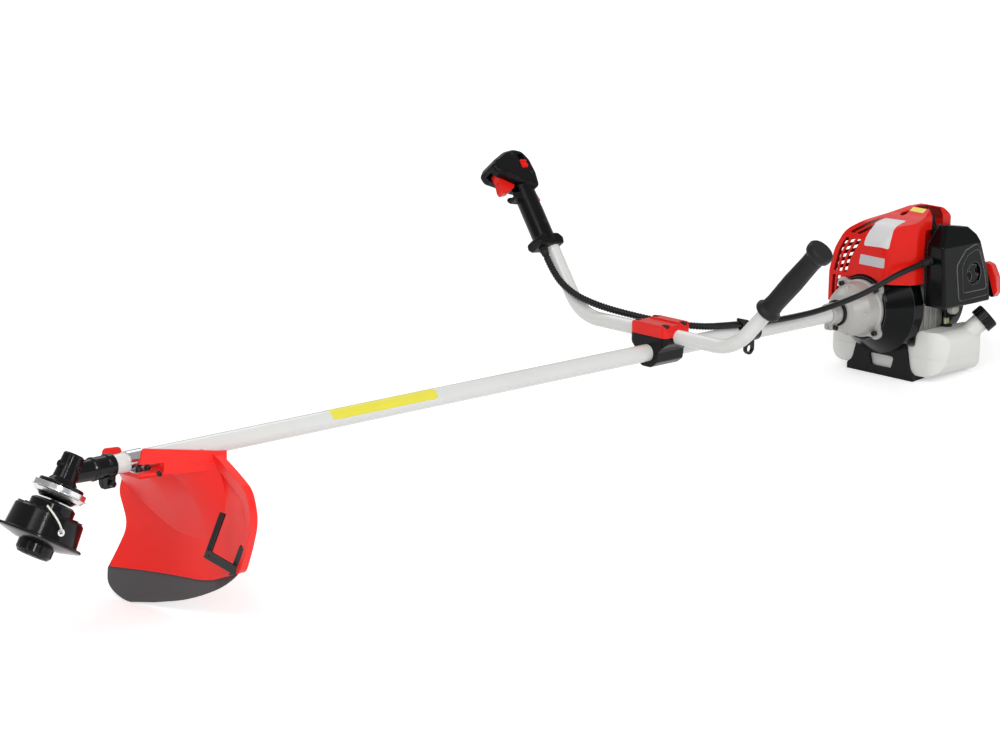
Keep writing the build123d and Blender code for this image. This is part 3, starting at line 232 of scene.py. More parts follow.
def soft_edge():
    """Group that rounds the shading at an edge and gives a mask of the edges, for wear and for the painted
    highlight along black nylon edges.
    """
    group, given, result = group_of("soft_edge", "ShaderNodeTree", (("Radius", "Float", 0.0008),),
                                    (("Normal", "Vector"), ("Edge", "Float")))
    rounded = add(group, "ShaderNodeBevel", {"Radius": given["Radius"]}, samples=4).outputs["Normal"]
    flat = add(group, "ShaderNodeNewGeometry").outputs["Normal"]
    agree = add(group, "ShaderNodeVectorMath", {0: rounded, 1: flat}, operation="DOT_PRODUCT")
    edge = add(group, "ShaderNodeMapRange",
               {"Value": agree.outputs["Value"], "From Min": EDGE_RANGE[0], "From Max": EDGE_RANGE[1]})
    group.links.new(rounded, result["Normal"])
    group.links.new(edge.outputs["Result"], result["Edge"])
    return group


SKIN = moulded_skin()
EDGE = soft_edge()


def finish(name, colour, roughness, grain=600.0, depth=0.04, patchiness=0.06, edge_wear_and_sheen=None, rounding=0.0008,
           **sockets):
    """Material of one surface finish. The colour given for its edges shows along them: wear on most
    finishes, and a painted highlight on the black nylon mouldings.
    """
    material = bpy.data.materials.new(name)
    material.use_nodes = True
    tree = material.node_tree
    shader = tree.nodes["Principled BSDF"].inputs
    skin = add(tree, "ShaderNodeGroup",
               {"Colour": (*colour, 1), "Roughness": roughness, "Grain": grain, "Patchiness": patchiness},
               node_tree=SKIN).outputs
    edge = add(tree, "ShaderNodeGroup", {"Radius": rounding}, node_tree=EDGE).outputs
    wear_and_sheen = add(tree, "ShaderNodeMix",
               {"Factor": edge["Edge"], "A": skin["Colour"], "B": (*(edge_wear_and_sheen or colour), 1)}, data_type="RGBA")
    bump = add(tree, "ShaderNodeBump",
               {"Strength": depth, "Distance": GRAIN_DEPTH, "Height": skin["Height"],
                "Normal": edge["Normal"]})
    tree.links.new(wear_and_sheen.outputs["Result"], shader["Base Color"])
    tree.links.new(skin["Roughness"], shader["Roughness"])
    tree.links.new(bump.outputs["Normal"], shader["Normal"])
    for socket, value in sockets.items():
        shader[socket.replace("_", " ")].default_value = value
    return material


def dress(material, *names):
    for name in names:
        node[name].data.materials.clear()
        node[name].data.materials.append(material)


def piece(name, mesh, body, material=None):
    """A new piece at the origin that rides on a body and takes the finish it is given."""
    if material:
        mesh.materials.append(material)
    made = bpy.data.objects.new(name, mesh)
    bpy.context.scene.collection.objects.link(made)
    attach(made, body)
    return made


def closed(mesh, sharp=40):
    """Faces turned outwards and shaded smooth, with edges above an angle kept sharp."""
    shape = bmesh.new()
    shape.from_mesh(mesh)
    bmesh.ops.remove_doubles(shape, verts=shape.verts, dist=JOIN_WITHIN)
    bmesh.ops.recalc_face_normals(shape, faces=shape.faces)
    shape.to_mesh(mesh)
    shape.free()
    mesh.shade_smooth()
    mesh.set_sharp_from_angle(angle=radians(sharp))
    return mesh


def film(name, spot, corner, cells, thickness):
    """A thin plate on a surface. spot(u, v) gives the surface's place and outward way, and corner the share
    of its width and of its height that the round corners take."""
    across, down = cells
    upper, lower = [], []
    for j in range(down + 1):
        for i in range(across + 1):
            u, v = 2 * i / across - 1, 2 * j / down - 1
            a, b = (abs(u) - 1 + corner[0]) / corner[0], (abs(v) - 1 + corner[1]) / corner[1]
            if a > 0 and b > 0:
                a, b = a * sqrt(1 - b * b / 2), b * sqrt(1 - a * a / 2)
                u = (1 - corner[0] + a * corner[0]) * (1 if u > 0 else -1)
                v = (1 - corner[1] + b * corner[1]) * (1 if v > 0 else -1)
            place, way = spot((u + 1) / 2, (v + 1) / 2)
            upper.append(place + way * thickness)
            lower.append(place - way * thickness)
    wide, count = across + 1, len(upper)
    faces = []
    for j in range(down):
        for i in range(across):
            a = j * wide + i
            faces.append((a, a + 1, a + wide + 1, a + wide))
            faces.append(tuple(count + k for k in (a, a + wide, a + wide + 1, a + 1)))
    rim = [*range(wide)]
    rim += [j * wide + across for j in range(1, down + 1)]
    rim += [down * wide + i for i in range(across - 1, -1, -1)]
    rim += [j * wide for j in range(down - 1, 0, -1)]
    for a, b in zip(rim, rim[1:] + rim[:1]):
        faces.append((a, b, count + b, count + a))
    mesh = bpy.data.meshes.new(name)
    mesh.from_pydata(upper + lower, [], faces)
    return closed(mesh)


def film_spot(u, v):
    x = FILM_SPAN[0] + (FILM_SPAN[1] - FILM_SPAN[0]) * u
    turn = radians(FILM_TURN[0] + (FILM_TURN[1] - FILM_TURN[0]) * v)
    return at(x, FILM_RADIUS * cos(turn), FILM_RADIUS * sin(turn)), toward(0, cos(turn), sin(turn))


powder_white = finish("powder_white", TUBE_WHITE, 0.2, grain=420, depth=0.03, patchiness=0.03,
                      Coat_Weight=0.3)
yellow_film = finish("yellow_film", FILM_YELLOW, 0.32, grain=900, depth=0.01, patchiness=0.04)
dress(powder_white, "shaft_tube")
film_mesh = film("tube_film", film_spot, FILM_CORNER, FILM_CELLS, FILM_THICKNESS)
piece("tube_film", film_mesh, "machine", yellow_film)

# Drive shaft and bushes
# Ground steel shaft that runs inside the tube in five black nylon bushes. The bushes are pushed into the
# tube and keep the long shaft from whipping.
machined_steel = finish("machined_steel", (0.52, 0.52, 0.53), 0.3, grain=900, depth=0.05, Metallic=1.0)
bush_nylon = finish("bush_nylon", (0.16, 0.16, 0.17), 0.5)
dress(machined_steel, "drive_shaft")
dress(bush_nylon, "shaft_bushes")

# Gear case
# Die-cast case in thick gloss black paint, rubbed thin along its edges, clamped on the tube by its split
# ear. It holds two cut steel bevel gears and the output spindle, and has a grease plug on its left side.
GREASE_PLUG = (1486, 90, 8)
GREASE_PLUG_HEAD = (0.0042, 0.003)


def skin_of(name):
    mesh = node[name].data
    return BVHTree.FromPolygons([v.co for v in mesh.vertices], [p.vertices for p in mesh.polygons])


def landing(skin, start, way):
    """Where a straight throw from a place lands on a surface, with the way that faces the thrower."""
    place, normal, _, _ = skin.ray_cast(start, way)
    if place is None:
        place, normal, _, _ = skin.find_nearest(start)
    return place, (normal if normal.dot(way) < 0 else -normal)


def settled(holder):
    """Plain mesh of an object as its curve or its modifiers leave it."""
    bpy.context.view_layer.update()
    return bpy.data.meshes.new_from_object(holder.evaluated_get(bpy.context.evaluated_depsgraph_get()))


def grown(name, seed, tree, **sizes):
    """Mesh that a Geometry Nodes tree makes from a seed mesh, with the tree's inputs given by name."""
    holder = bpy.data.objects.new(name, seed)
    bpy.context.scene.collection.objects.link(holder)
    maker = holder.modifiers.new(tree.name, "NODES")
    maker.node_group = tree
    for socket in tree.interface.items_tree:
        if socket.in_out == "INPUT" and socket.name.replace(" ", "_") in sizes:
            maker[socket.identifier] = sizes[socket.name.replace(" ", "_")]
    mesh = settled(holder)
    mesh.name = name
    holder.modifiers.remove(maker)
    bpy.data.objects.remove(holder)
    return closed(mesh)


def screw_tree():
    """Tree that sets a socket-head screw on every seat, along the seat's own way."""
    tree, given, result = group_of(
        "socket_screws", "GeometryNodeTree",
        (("Seats", "Geometry", None), ("Head Radius", "Float", 0.003), ("Head Height", "Float", 0.002),
         ("Sides", "Int", 18), ("Brim Rise", "Float", 0.14), ("Brim Share", "Float", 0.88),
         ("Socket Share", "Float", 0.55), ("Socket Sink", "Float", -0.5), ("Material", "Material", None)),
        (("Screws", "Geometry"),))
    rise = maths(tree, "MULTIPLY", given["Head Height"], given["Brim Rise"])
    sink = maths(tree, "MULTIPLY", given["Head Height"], given["Socket Sink"])
    head = add(tree, "GeometryNodeMeshCylinder",
               {"Vertices": given["Sides"], "Radius": given["Head Radius"],
                "Depth": given["Head Height"]}).outputs
    brim = add(tree, "GeometryNodeExtrudeMesh",
               {"Mesh": head["Mesh"], "Selection": head["Top"], "Offset Scale": rise}).outputs
    rounded = add(tree, "GeometryNodeScaleElements",
                  {"Geometry": brim["Mesh"], "Selection": brim["Top"], "Scale": given["Brim Share"]}).outputs
    ledge = add(tree, "GeometryNodeExtrudeMesh",
                {"Mesh": rounded["Geometry"], "Selection": brim["Top"], "Offset Scale": 0.0}).outputs
    mouth = add(tree, "GeometryNodeScaleElements",
                {"Geometry": ledge["Mesh"], "Selection": ledge["Top"],
                 "Scale": given["Socket Share"]}).outputs
    socket = add(tree, "GeometryNodeExtrudeMesh",
                 {"Mesh": mouth["Geometry"], "Selection": ledge["Top"], "Offset Scale": sink}).outputs
    way = add(tree, "GeometryNodeInputNamedAttribute", {"Name": "way"}, data_type="FLOAT_VECTOR").outputs
    turn = add(tree, "FunctionNodeAlignRotationToVector", {"Vector": way["Attribute"]}, axis="Z").outputs
    placed = add(tree, "GeometryNodeInstanceOnPoints",
                 {"Points": given["Seats"], "Instance": socket["Mesh"],
                  "Rotation": turn["Rotation"]}).outputs
    real = add(tree, "GeometryNodeRealizeInstances", {"Geometry": placed["Instances"]}).outputs
    dressed = add(tree, "GeometryNodeSetMaterial",
                  {"Geometry": real["Geometry"], "Material": given["Material"]}).outputs
    tree.links.new(dressed["Geometry"], result["Screws"])
    return tree


SCREWS = screw_tree()
screw_black = finish("screw_black", (0.022, 0.022, 0.024), 0.35, grain=900, depth=0.05,
                     edge_wear_and_sheen=(0.10, 0.10, 0.10), rounding=0.0003, Metallic=0.6)


def screws(name, seats, head):
    """Black screws. A seat is a place and the way its head faces, and a head is a radius and a height."""
    seed = bpy.data.meshes.new(name + "_seats")
    seed.from_pydata([place for place, _ in seats], [], [])
    ways = seed.attributes.new("way", "FLOAT_VECTOR", "POINT")
    for spot, (_, way) in zip(ways.data, seats):
        spot.vector = way
    mesh = grown(name, seed, SCREWS, Head_Radius=head[0], Head_Height=head[1], Material=screw_black)
    piece(name, mesh, "machine")


gloss_black = finish("gloss_black", (0.004, 0.004, 0.005), 0.13, grain=260, depth=0.05, patchiness=0.08,
                     edge_wear_and_sheen=(0.020, 0.020, 0.022), rounding=0.0014, Specular_IOR_Level=0.24)
dress(gloss_black, "gear_case")
dress(machined_steel, "bevel_pinion", "bevel_gear", "output_spindle")
grease_seat = landing(skin_of("gear_case"), at(*GREASE_PLUG), toward(0, -1, 0))
screws("grease_plug", [grease_seat], GREASE_PLUG_HEAD)

# Line head
# Bright pressed cup on the spindle, and under it two black nylon mouldings with a knurled knob that is
# bumped on the ground to feed the line. The line is stiff nylon of 2.6 mm and leaves through two plated
# eyelets.
HEAD_PLACE = 1495
HEAD_LEAN = radians(30)
EYELET_TURN = radians(12)
LINE_RADIUS = 0.0013
LINE_STEP = 0.001
LINE_SIDES = 14
LINE_ROUTE = ((0, 44, 72), (0, 51, 72), (-4, 57, 69), (-13, 59, 62), (-24, 56, 54), (-33, 50, 48))
ROUTE_FINENESS = 24


def head_at(x, y, z):
    """A place on the line head: across, to the side, and down along the spindle."""
    across = x * cos(EYELET_TURN) - y * sin(EYELET_TURN)
    aside = x * sin(EYELET_TURN) + y * cos(EYELET_TURN)
    return at(HEAD_PLACE + across * cos(HEAD_LEAN) + z * sin(HEAD_LEAN), -aside,
              across * sin(HEAD_LEAN) - z * cos(HEAD_LEAN))


def route_line(name, places):
    """Mesh of the smooth line that a route's places control."""
    curve = bpy.data.curves.new(name, "CURVE")
    curve.dimensions = "3D"
    curve.resolution_u = ROUTE_FINENESS
    spline = curve.splines.new("NURBS")
    spline.points.add(len(places) - 1)
    for point, place in zip(spline.points, places):
        point.co = (*place, 1)
    spline.order_u = 3
    spline.use_endpoint_u = True
    holder = bpy.data.objects.new(name, curve)
    bpy.context.scene.collection.objects.link(holder)
    mesh = settled(holder)
    bpy.data.objects.remove(holder)
    return mesh


def places_of(mesh):
    return [v.co.copy() for v in mesh.vertices]


def run_tree():
    """Tree that makes a round run along a line, with ribs between two lengths of it."""
    tree, given, result = group_of(
        "round_run", "GeometryNodeTree",
        (("Line", "Geometry", None), ("Radius", "Float", 0.004), ("Rib Height", "Float", 0.0),
         ("Rib Pitch", "Float", 0.005), ("Rib Foot", "Float", 0.25), ("Rib Crest", "Float", 0.65),
         ("Ribs From", "Float", 0.0), ("Ribs To", "Float", 0.0), ("Step", "Float", 0.002),
         ("Sides", "Int", 20), ("Material", "Material", None)),
        (("Run", "Geometry"),))
    line = add(tree, "GeometryNodeMeshToCurve", {"Mesh": given["Line"]}).outputs
    even = add(tree, "GeometryNodeResampleCurve", {"Curve": line["Curve"], "Length": given["Step"]},
               mode="LENGTH").outputs
    along = add(tree, "GeometryNodeSplineParameter").outputs["Length"]
    half_pitch = maths(tree, "MULTIPLY", given["Rib Pitch"], 0.5)
    wave = maths(tree, "DIVIDE", maths(tree, "PINGPONG", along, half_pitch), half_pitch)
    crest = add(tree, "ShaderNodeMapRange",
                {"Value": wave, "From Min": given["Rib Foot"], "From Max": given["Rib Crest"]},
                interpolation_type="SMOOTHSTEP").outputs["Result"]
    begun = maths(tree, "GREATER_THAN", along, given["Ribs From"])
    going = maths(tree, "LESS_THAN", along, given["Ribs To"])
    rib = maths(tree, "MULTIPLY", crest, maths(tree, "MULTIPLY", begun, going))
    radius = maths(tree, "ADD", given["Radius"], maths(tree, "MULTIPLY", given["Rib Height"], rib))
    ring = add(tree, "GeometryNodeCurvePrimitiveCircle",
               {"Resolution": given["Sides"], "Radius": 1.0}).outputs
    run = add(tree, "GeometryNodeCurveToMesh",
              {"Curve": even["Curve"], "Profile Curve": ring["Curve"], "Scale": radius,
               "Fill Caps": True}).outputs
    real = add(tree, "GeometryNodeRealizeInstances", {"Geometry": run["Mesh"]}).outputs
    dressed = add(tree, "GeometryNodeSetMaterial",
                  {"Geometry": real["Geometry"], "Material": given["Material"]}).outputs
    tree.links.new(dressed["Geometry"], result["Run"])
    return tree


RUN = run_tree()


def run_piece(name, line, body, slot, material, **sizes):
    """A round piece along a line, with its radius, ribs, step and sides."""
    return piece(name, grown(name, line, RUN, Material=material, **sizes), body)


bright_zinc = finish("bright_zinc", (0.74, 0.74, 0.75), 0.2, grain=500, depth=0.05, patchiness=0.14,
                     Metallic=1.0)
satin_black = finish("satin_black", (0.004, 0.004, 0.005), 0.25, grain=520, depth=0.06, patchiness=0.10,
                     edge_wear_and_sheen=(0.020, 0.020, 0.022), rounding=0.0014, Specular_IOR_Level=0.17)
clear_line = finish("clear_line", (0.80, 0.79, 0.72), 0.25, grain=300, depth=0.02)
dress(bright_zinc, "spindle_cup", "line_eyelets")
dress(satin_black, "line_spool")
dress(gloss_black, "head_housing", "head_cover", "bump_knob")
dress(machined_steel, "bump_spring")
for side, name in ((1, "near_line_end"), (-1, "far_line_end")):
    line = route_line(name, [head_at(side * x, side * y, z) for x, y, z in LINE_ROUTE])
    places = places_of(line)
    line_end = run_piece(name, line, "head", "line_plastic", clear_line, Radius=LINE_RADIUS, Step=LINE_STEP,
                         Sides=LINE_SIDES)
    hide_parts("trimmer_line")

# Guard
# One bright red moulding with a gloss face and a black cutter that trims the line, clamped on the tube by a
# zinc strap and screws. The charcoal rubber skirt along it is punched out with one smooth lower edge.
GUARD_BOLT = ((1386, 120, -11), (-0.1, -1, 0))
GUARD_BOLT_HEAD = (0.0035, 0.004)
SKIRT_EDGE = ((125, -120), (98, -158), (14, -201), (-54, -218.5), (-98, -229), (-140, -214), (-148, -190),
              (-152, -160))
SKIRT_SPAN = (1280, 1340)


def joined(name):
    """A copy of a CAD node with its loose triangles joined."""
    shape = bmesh.new()
    shape.from_mesh(node[name].data)
    bmesh.ops.remove_doubles(shape, verts=shape.verts, dist=JOIN_WITHIN)
    return shape


def swept(name, ring, sweep):
    """Closed block between a ring of places and the same ring moved by a sweep."""
    count = len(ring)
    walls = [(i, (i + 1) % count, count + (i + 1) % count, count + i) for i in range(count)]
    mesh = bpy.data.meshes.new(name)
    mesh.from_pydata(ring + [place + sweep for place in ring], [],
                     [tuple(range(count)), tuple(range(count, 2 * count))] + walls)
    return closed(mesh)


guard_red = finish("guard_red", (0.99, 0.028, 0.022), 0.3, grain=300, depth=0.02, patchiness=0.03,
                   edge_wear_and_sheen=(0.98, 0.04, 0.03), Specular_IOR_Level=0.25)
charcoal_rubber = finish("charcoal_rubber", (0.080, 0.080, 0.084), 0.72, grain=900, depth=0.2,
                         patchiness=0.10)
cutter_black = finish("cutter_black", (0.010, 0.010, 0.011), 0.45, grain=400, depth=0.05,
                      edge_wear_and_sheen=(0.10, 0.10, 0.10))
dress(guard_red, "guard")
dress(cutter_black, "line_cutter")
dress(bright_zinc, "guard_bracket")

skirt_edge = places_of(route_line("skirt_edge", [at(SKIRT_SPAN[0], y, z) for y, z in SKIRT_EDGE]))
die_depth = toward(1, 0, 0) * (SKIRT_SPAN[1] - SKIRT_SPAN[0]) / 1000
skirt_die = bpy.data.objects.new("skirt_die", swept("skirt_die", skirt_edge, die_depth))
blank_shape = joined("guard_extension")
blank_mesh = bpy.data.meshes.new("skirt_blank")
blank_shape.to_mesh(blank_mesh)
blank_shape.free()
skirt_blank = bpy.data.objects.new("skirt_blank", blank_mesh)
for tool in (skirt_die, skirt_blank):
    bpy.context.scene.collection.objects.link(tool)
punch = skirt_blank.modifiers.new("punch", "BOOLEAN")
punch.operation = "INTERSECT"
punch.object = skirt_die
skirt_mesh = settled(skirt_blank)
for tool in (skirt_blank, skirt_die):
    bpy.data.objects.remove(tool)
skirt = piece("guard_skirt", closed(skirt_mesh), "machine", charcoal_rubber)
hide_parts("guard_extension")
bolt_seat = landing(skin_of("guard"), at(*GUARD_BOLT[0]), toward(*GUARD_BOLT[1]))
screws("guard_bolt", [bolt_seat], GUARD_BOLT_HEAD)

# Handlebar
# Two bent steel tubes in the same white powder coat, held by a red cap and a black saddle with four socket
# screws. The left grip is fluted black rubber.
moulded_red = finish("moulded_red", (0.82, 0.012, 0.008), 0.3, grain=420, depth=0.04, patchiness=0.06,
                     edge_wear_and_sheen=(0.86, 0.04, 0.03), Specular_IOR_Level=0.3)
grip_rubber = finish("grip_rubber", (0.007, 0.007, 0.008), 0.5, grain=700, depth=0.2, patchiness=0.10,
                     edge_wear_and_sheen=(0.022, 0.022, 0.024), Specular_IOR_Level=0.3)
dress(powder_white, "left_bar", "right_bar")
dress(moulded_red, "handle_clamp_cap")
dress(satin_black, "handle_clamp_body")
dress(grip_rubber, "left_grip")
dress(screw_black, "cap_screws")

# Throttle handle
# Two black nylon shells screwed together round the right bar's leg, with a red trigger, lock-out lever and
# stop switch. A screw's place is given from the leg's foot: to the front, and up along the leg.
LEG_FOOT = (400, -165, 26)
SHELL_SCREWS = ((24, 277), (0, 243), (9.5, 158))
SHELL_SCREW_THROW = 70
SHELL_SCREW_HEAD = (0.0032, 0.0016)

dress(satin_black, "handle_shell_left", "handle_shell_right")
dress(moulded_red, "throttle_trigger", "lockout_lever", "stop_switch")
shell_skin = skin_of("handle_shell_left")
leg_up = Vector(joint["stop_switch_slide"]["axis"])
leg_side = Vector(joint["trigger_pull"]["axis"])
leg_front = leg_side.cross(leg_up)
shell_seats = []
for front, up in SHELL_SCREWS:
    start = at(*LEG_FOOT) + (leg_front * front + leg_side * SHELL_SCREW_THROW + leg_up * up) / 1000
    shell_seats.append(landing(shell_skin, start, -leg_side))
screws("shell_screws", shell_seats, SHELL_SCREW_HEAD)

# Tube fittings
# Black painted harness hanger and cable clip, a cast aluminium collar and a black rubber ring that keeps the
# engine's shake off the tube.
cast_alloy = finish("cast_alloy", (0.47, 0.46, 0.44), 0.46, grain=380, depth=0.16, patchiness=0.12,
                    edge_wear_and_sheen=(0.62, 0.61, 0.59), rounding=0.0012, Metallic=0.35)
dress(gloss_black, "harness_hanger")
dress(satin_black, "cable_clip")
dress(cast_alloy, "tube_collar")
dress(grip_rubber, "damper_ring")

# Clutch housing and engine castings
# Grey die-cast aluminium, left as cast. Inside are the clutch drum, its shoes, the flywheel and the
# finned cylinder. A ribbed rubber sleeve covers the plug lead.
PLUG_LEAD = ((-155.5, 60, 141.5), (-157, 60.5, 135), (-161, 62, 127), (-165, 63.5, 117), (-167, 64, 104))
SLEEVE_RADIUS = 0.0058
SLEEVE_RIB = 0.0012
SLEEVE_PITCH = 0.0042
SLEEVE_RIBBED = (0.001, 0.034)
SLEEVE_STEP = 0.0005

dress(cast_alloy, "clutch_housing", "crankcase", "cylinder", "carburettor", "flywheel")
dress(machined_steel, "clutch_drum", "clutch_shoes")
dress(bright_zinc, "spark_plug")
dress(gloss_black, "muffler")
dress(grip_rubber, "plug_boot")
lead_line = route_line("plug_lead", [at(*place) for place in PLUG_LEAD])
run_piece("plug_lead", lead_line, "machine", "rubber", grip_rubber, Radius=SLEEVE_RADIUS, Step=SLEEVE_STEP,
          Rib_Height=SLEEVE_RIB, Rib_Pitch=SLEEVE_PITCH, Ribs_From=SLEEVE_RIBBED[0],
          Ribs_To=SLEEVE_RIBBED[1])

# Fan housing and starter
# Semi-gloss black mouldings. The starter's cover is held by four screws. Its red pull handle has a black
# core on the side of the rope, and the nylon rope is drawn out of the bore behind it.
STARTER_SCREWS = (70, 160, 250, 340)
STARTER_SCREW_RADIUS = 55
STARTER_SCREW_THROW = -320
STARTER_SCREW_HEAD = (0.0036, 0.0022)
HANDLE_SEAT = (-252, 89, 41)
CORE_DEPTH = 0.019
CORE_SKIN = 0.0003
ROPE_RADIUS = 0.0018
ROPE_SPAN = (0.017, 0.002)
ROPE_STEP = 0.0005
ROPE_SIDES = 12


def sliced(name, place, way, **side):
    """A copy of a CAD node cut by a plane, with the cut's corners and edges."""
    shape = joined(name)
    cut = bmesh.ops.bisect_plane(shape, geom=[*shape.verts, *shape.edges, *shape.faces], plane_co=place,
                                 plane_no=way, **side)["geom_cut"]
    corners = [v for v in cut if isinstance(v, bmesh.types.BMVert)]
    return shape, corners, [e for e in cut if isinstance(e, bmesh.types.BMEdge)]


# The lighter grey along the edges of these black nylon mouldings is a painted highlight, drawn where rounded
# edges would catch the soft boxes.
gloss_nylon = finish("gloss_nylon", (0.002, 0.0025, 0.003), 0.16, grain=420, depth=0.03, patchiness=0.06,
                     edge_wear_and_sheen=(0.10, 0.105, 0.11), rounding=0.0022, Specular_IOR_Level=0.15)
dress(gloss_nylon, "fan_housing", "starter_housing")
dress(moulded_red, "starter_handle")
starter_skin = skin_of("starter_housing")
starter_seats = []
for turn in map(radians, STARTER_SCREWS):
    start = at(STARTER_SCREW_THROW, STARTER_SCREW_RADIUS * cos(turn), STARTER_SCREW_RADIUS * sin(turn))
    starter_seats.append(landing(starter_skin, start, toward(1, 0, 0)))
screws("starter_screws", starter_seats, STARTER_SCREW_HEAD)

pull_way = Vector(joint["starter_pull"]["axis"])
handle_seat = at(*HANDLE_SEAT)
core, _, core_rim = sliced("starter_handle", handle_seat + pull_way * CORE_DEPTH, pull_way, clear_outer=True)
bmesh.ops.holes_fill(core, edges=core_rim)
core.normal_update()
for corner, way in [(v, v.normal.copy()) for v in core.verts]:
    corner.co += way * CORE_SKIN
core_mesh = bpy.data.meshes.new("pull_handle_core")
core.to_mesh(core_mesh)
core.free()
piece("pull_handle_core", closed(core_mesh), "pull_handle", satin_black)

rope_nylon = finish("rope_nylon", (0.60, 0.58, 0.52), 0.7, grain=1400, depth=0.5, patchiness=0.10)
rope_seed = bpy.data.meshes.new("starter_rope_line")
rope_seed.from_pydata([handle_seat - pull_way * along for along in ROPE_SPAN], [(0, 1)], [])
rope_mesh = grown("starter_rope", rope_seed, RUN, Radius=ROPE_RADIUS, Step=ROPE_STEP, Sides=ROPE_SIDES,
                  Material=rope_nylon)
rope = bpy.data.objects.new("starter_rope", rope_mesh)
bpy.context.scene.collection.objects.link(rope)
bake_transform(rope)

# Engine cover
# Gloss red moulding with a slotted corner for the cooling air, and a folded cheek that closes it beside the
# plug. A bare white plate, a bare silver plate and a bare yellow plate are stuck on it.
PLATE_CELLS = (24, 20)
PLATE_THICKNESS = 0.0005
PLATE_THROW = 0.05
# Each plate: its name, colour, how round its corners are, the way it is pressed on, and its four corners.
PLATES = (
    ("white_plate", (0.72, 0.72, 0.72), (0.16, 0.10), (-0.75, -0.05, -0.66),
     ((-100, 14.1, 142), (-103, 53.9, 142.9), (-73.7, 44.5, 99), (-70, -2.9, 99.7))),
    ("silver_plate", (0.55, 0.54, 0.56), (0.06, 0.16), (-1, -0.12, 0),
     ((-70, -8.3, 85.2), (-71.6, 39.1, 84.4), (-71.5, 38.8, 68.6), (-70, -10.8, 69))),
    ("yellow_plate", (0.82, 0.75, 0.08), (0.08, 0.16), (-0.3, 0, -1),
     ((-139, 38.5, 158.5), (-139, 65, 158), (-130, 65, 153), (-130, 38.5, 153.5))),
)
CHEEK_SPAN = (72, 127)
CHEEK_BEND = ((-122.5, 75), (-122.5, 57.5), (-168, 57.5), (-168, 59.5), (-124.5, 59.5), (-124.5, 75))

cover_red = finish("cover_red", (0.75, 0.010, 0.005), 0.24, grain=320, depth=0.03, patchiness=0.05,
                   edge_wear_and_sheen=(0.82, 0.035, 0.022), rounding=0.0016, Specular_IOR_Level=0.22)
dress(cover_red, "engine_cover")
cover_skin = skin_of("engine_cover")


def plate_spot(corners, way):
    """The spots of a plate on the cover, spread between its corners and thrown on along a way."""
    first, second, third, fourth = (at(*corner) for corner in corners)
    throw = toward(*way)

    def spot(u, v):
        place = first.lerp(second, u).lerp(fourth.lerp(third, u), v)
        return landing(cover_skin, place - throw * PLATE_THROW, throw)

    return spot


for name, colour, roundness, way, corners in PLATES:
    plate_film = finish(name + "_film", colour, 0.35, grain=900, depth=0.015, patchiness=0.04,
                        rounding=0.0002)
    plate_mesh = film(name, plate_spot(corners, way), roundness, PLATE_CELLS, PLATE_THICKNESS)
    piece(name, plate_mesh, "machine", plate_film)

cheek_rise = toward(0, 0, 1) * (CHEEK_SPAN[1] - CHEEK_SPAN[0]) / 1000
cheek_mesh = swept("cover_cheek", [at(x, y, CHEEK_SPAN[0]) for x, y in CHEEK_BEND], cheek_rise)
piece("cover_cheek", cheek_mesh, "machine", cover_red)

# Air cleaner, choke and primer
# Black nylon cover with a knob over a felt filter, on a base that is screwed to the carburettor. A choke
# lever turns on the base, and a clear primer bulb is pressed in under it.
filter_felt = finish("filter_felt", (0.06, 0.06, 0.06), 0.9, grain=900, depth=0.6)
bulb_clear = finish("bulb_clear", (0.80, 0.78, 0.70), 0.2, grain=300, depth=0.01, Transmission_Weight=0.4)
# The pale grey along the edges of the air cleaner cover and knob is a painted highlight of the light on
# their rounded edges.
lid_nylon = finish("lid_nylon", (0.002, 0.0025, 0.003), 0.14, grain=420, depth=0.03, patchiness=0.06,
                   edge_wear_and_sheen=(0.26, 0.27, 0.28), rounding=0.0018, Specular_IOR_Level=0.16)
dress(lid_nylon, "air_cleaner_cover", "air_cleaner_knob")
dress(gloss_nylon, "air_cleaner_base")
dress(satin_black, "choke_lever")
dress(filter_felt, "air_filter")
dress(bulb_clear, "primer_bulb")

# Fuel tank
# Blow-moulded milky tank with its seam half way up, a rubber grommet for two soft hoses, one clear and one
# green, and a ridged black cap.
TANK_MILK = (0.79, 0.80, 0.77)
TANK_TOP = -34
SEAM_HEIGHT = -78
SEAM_RADIUS = 0.0005
SEAM_STEP = 0.003
SEAM_SIDES = 8
HOSE_RADIUS = 0.0024
HOSE_STEP = 0.0015
HOSE_SIDES = 16
HOSES = (
    ("clear_hose", (0.70, 0.70, 0.64),
     ((-185, 76, TANK_TOP - 8), (-185, 76, TANK_TOP + 14), (-183, 73, 2), (-178, 66, 22), (-170, 64, 41))),
    ("green_hose", (0.55, 0.60, 0.10),
     ((-191, 76, TANK_TOP - 8), (-191, 76, TANK_TOP + 16), (-191, 72, 8), (-189, 64, 30), (-182, 60, 48),
      (-166, 58, 58))),
)

milky_tank = finish("milky_tank", TANK_MILK, 0.34, grain=200, depth=0.04, patchiness=0.04, rounding=0.004,
                    Subsurface_Weight=0.25, Subsurface_Scale=0.008, Subsurface_Radius=(1, 1, 1))
seam_bead = finish("seam_bead", TANK_MILK, 0.4, grain=200, depth=0.04, patchiness=0.04, rounding=0.0002)
dress(milky_tank, "fuel_tank")
dress(satin_black, "tank_cap")
dress(grip_rubber, "tank_grommet")

tank, seam_corners, seam_edges = sliced("fuel_tank", at(0, 0, SEAM_HEIGHT), toward(0, 0, 1))
order = {corner: i for i, corner in enumerate(seam_corners)}
seam = bpy.data.meshes.new("tank_seam_line")
seam.from_pydata([v.co for v in seam_corners], [[order[v] for v in e.verts] for e in seam_edges], [])
tank.free()
run_piece("tank_seam", seam, "machine", "tank_plastic", seam_bead, Radius=SEAM_RADIUS, Step=SEAM_STEP,
          Sides=SEAM_SIDES)

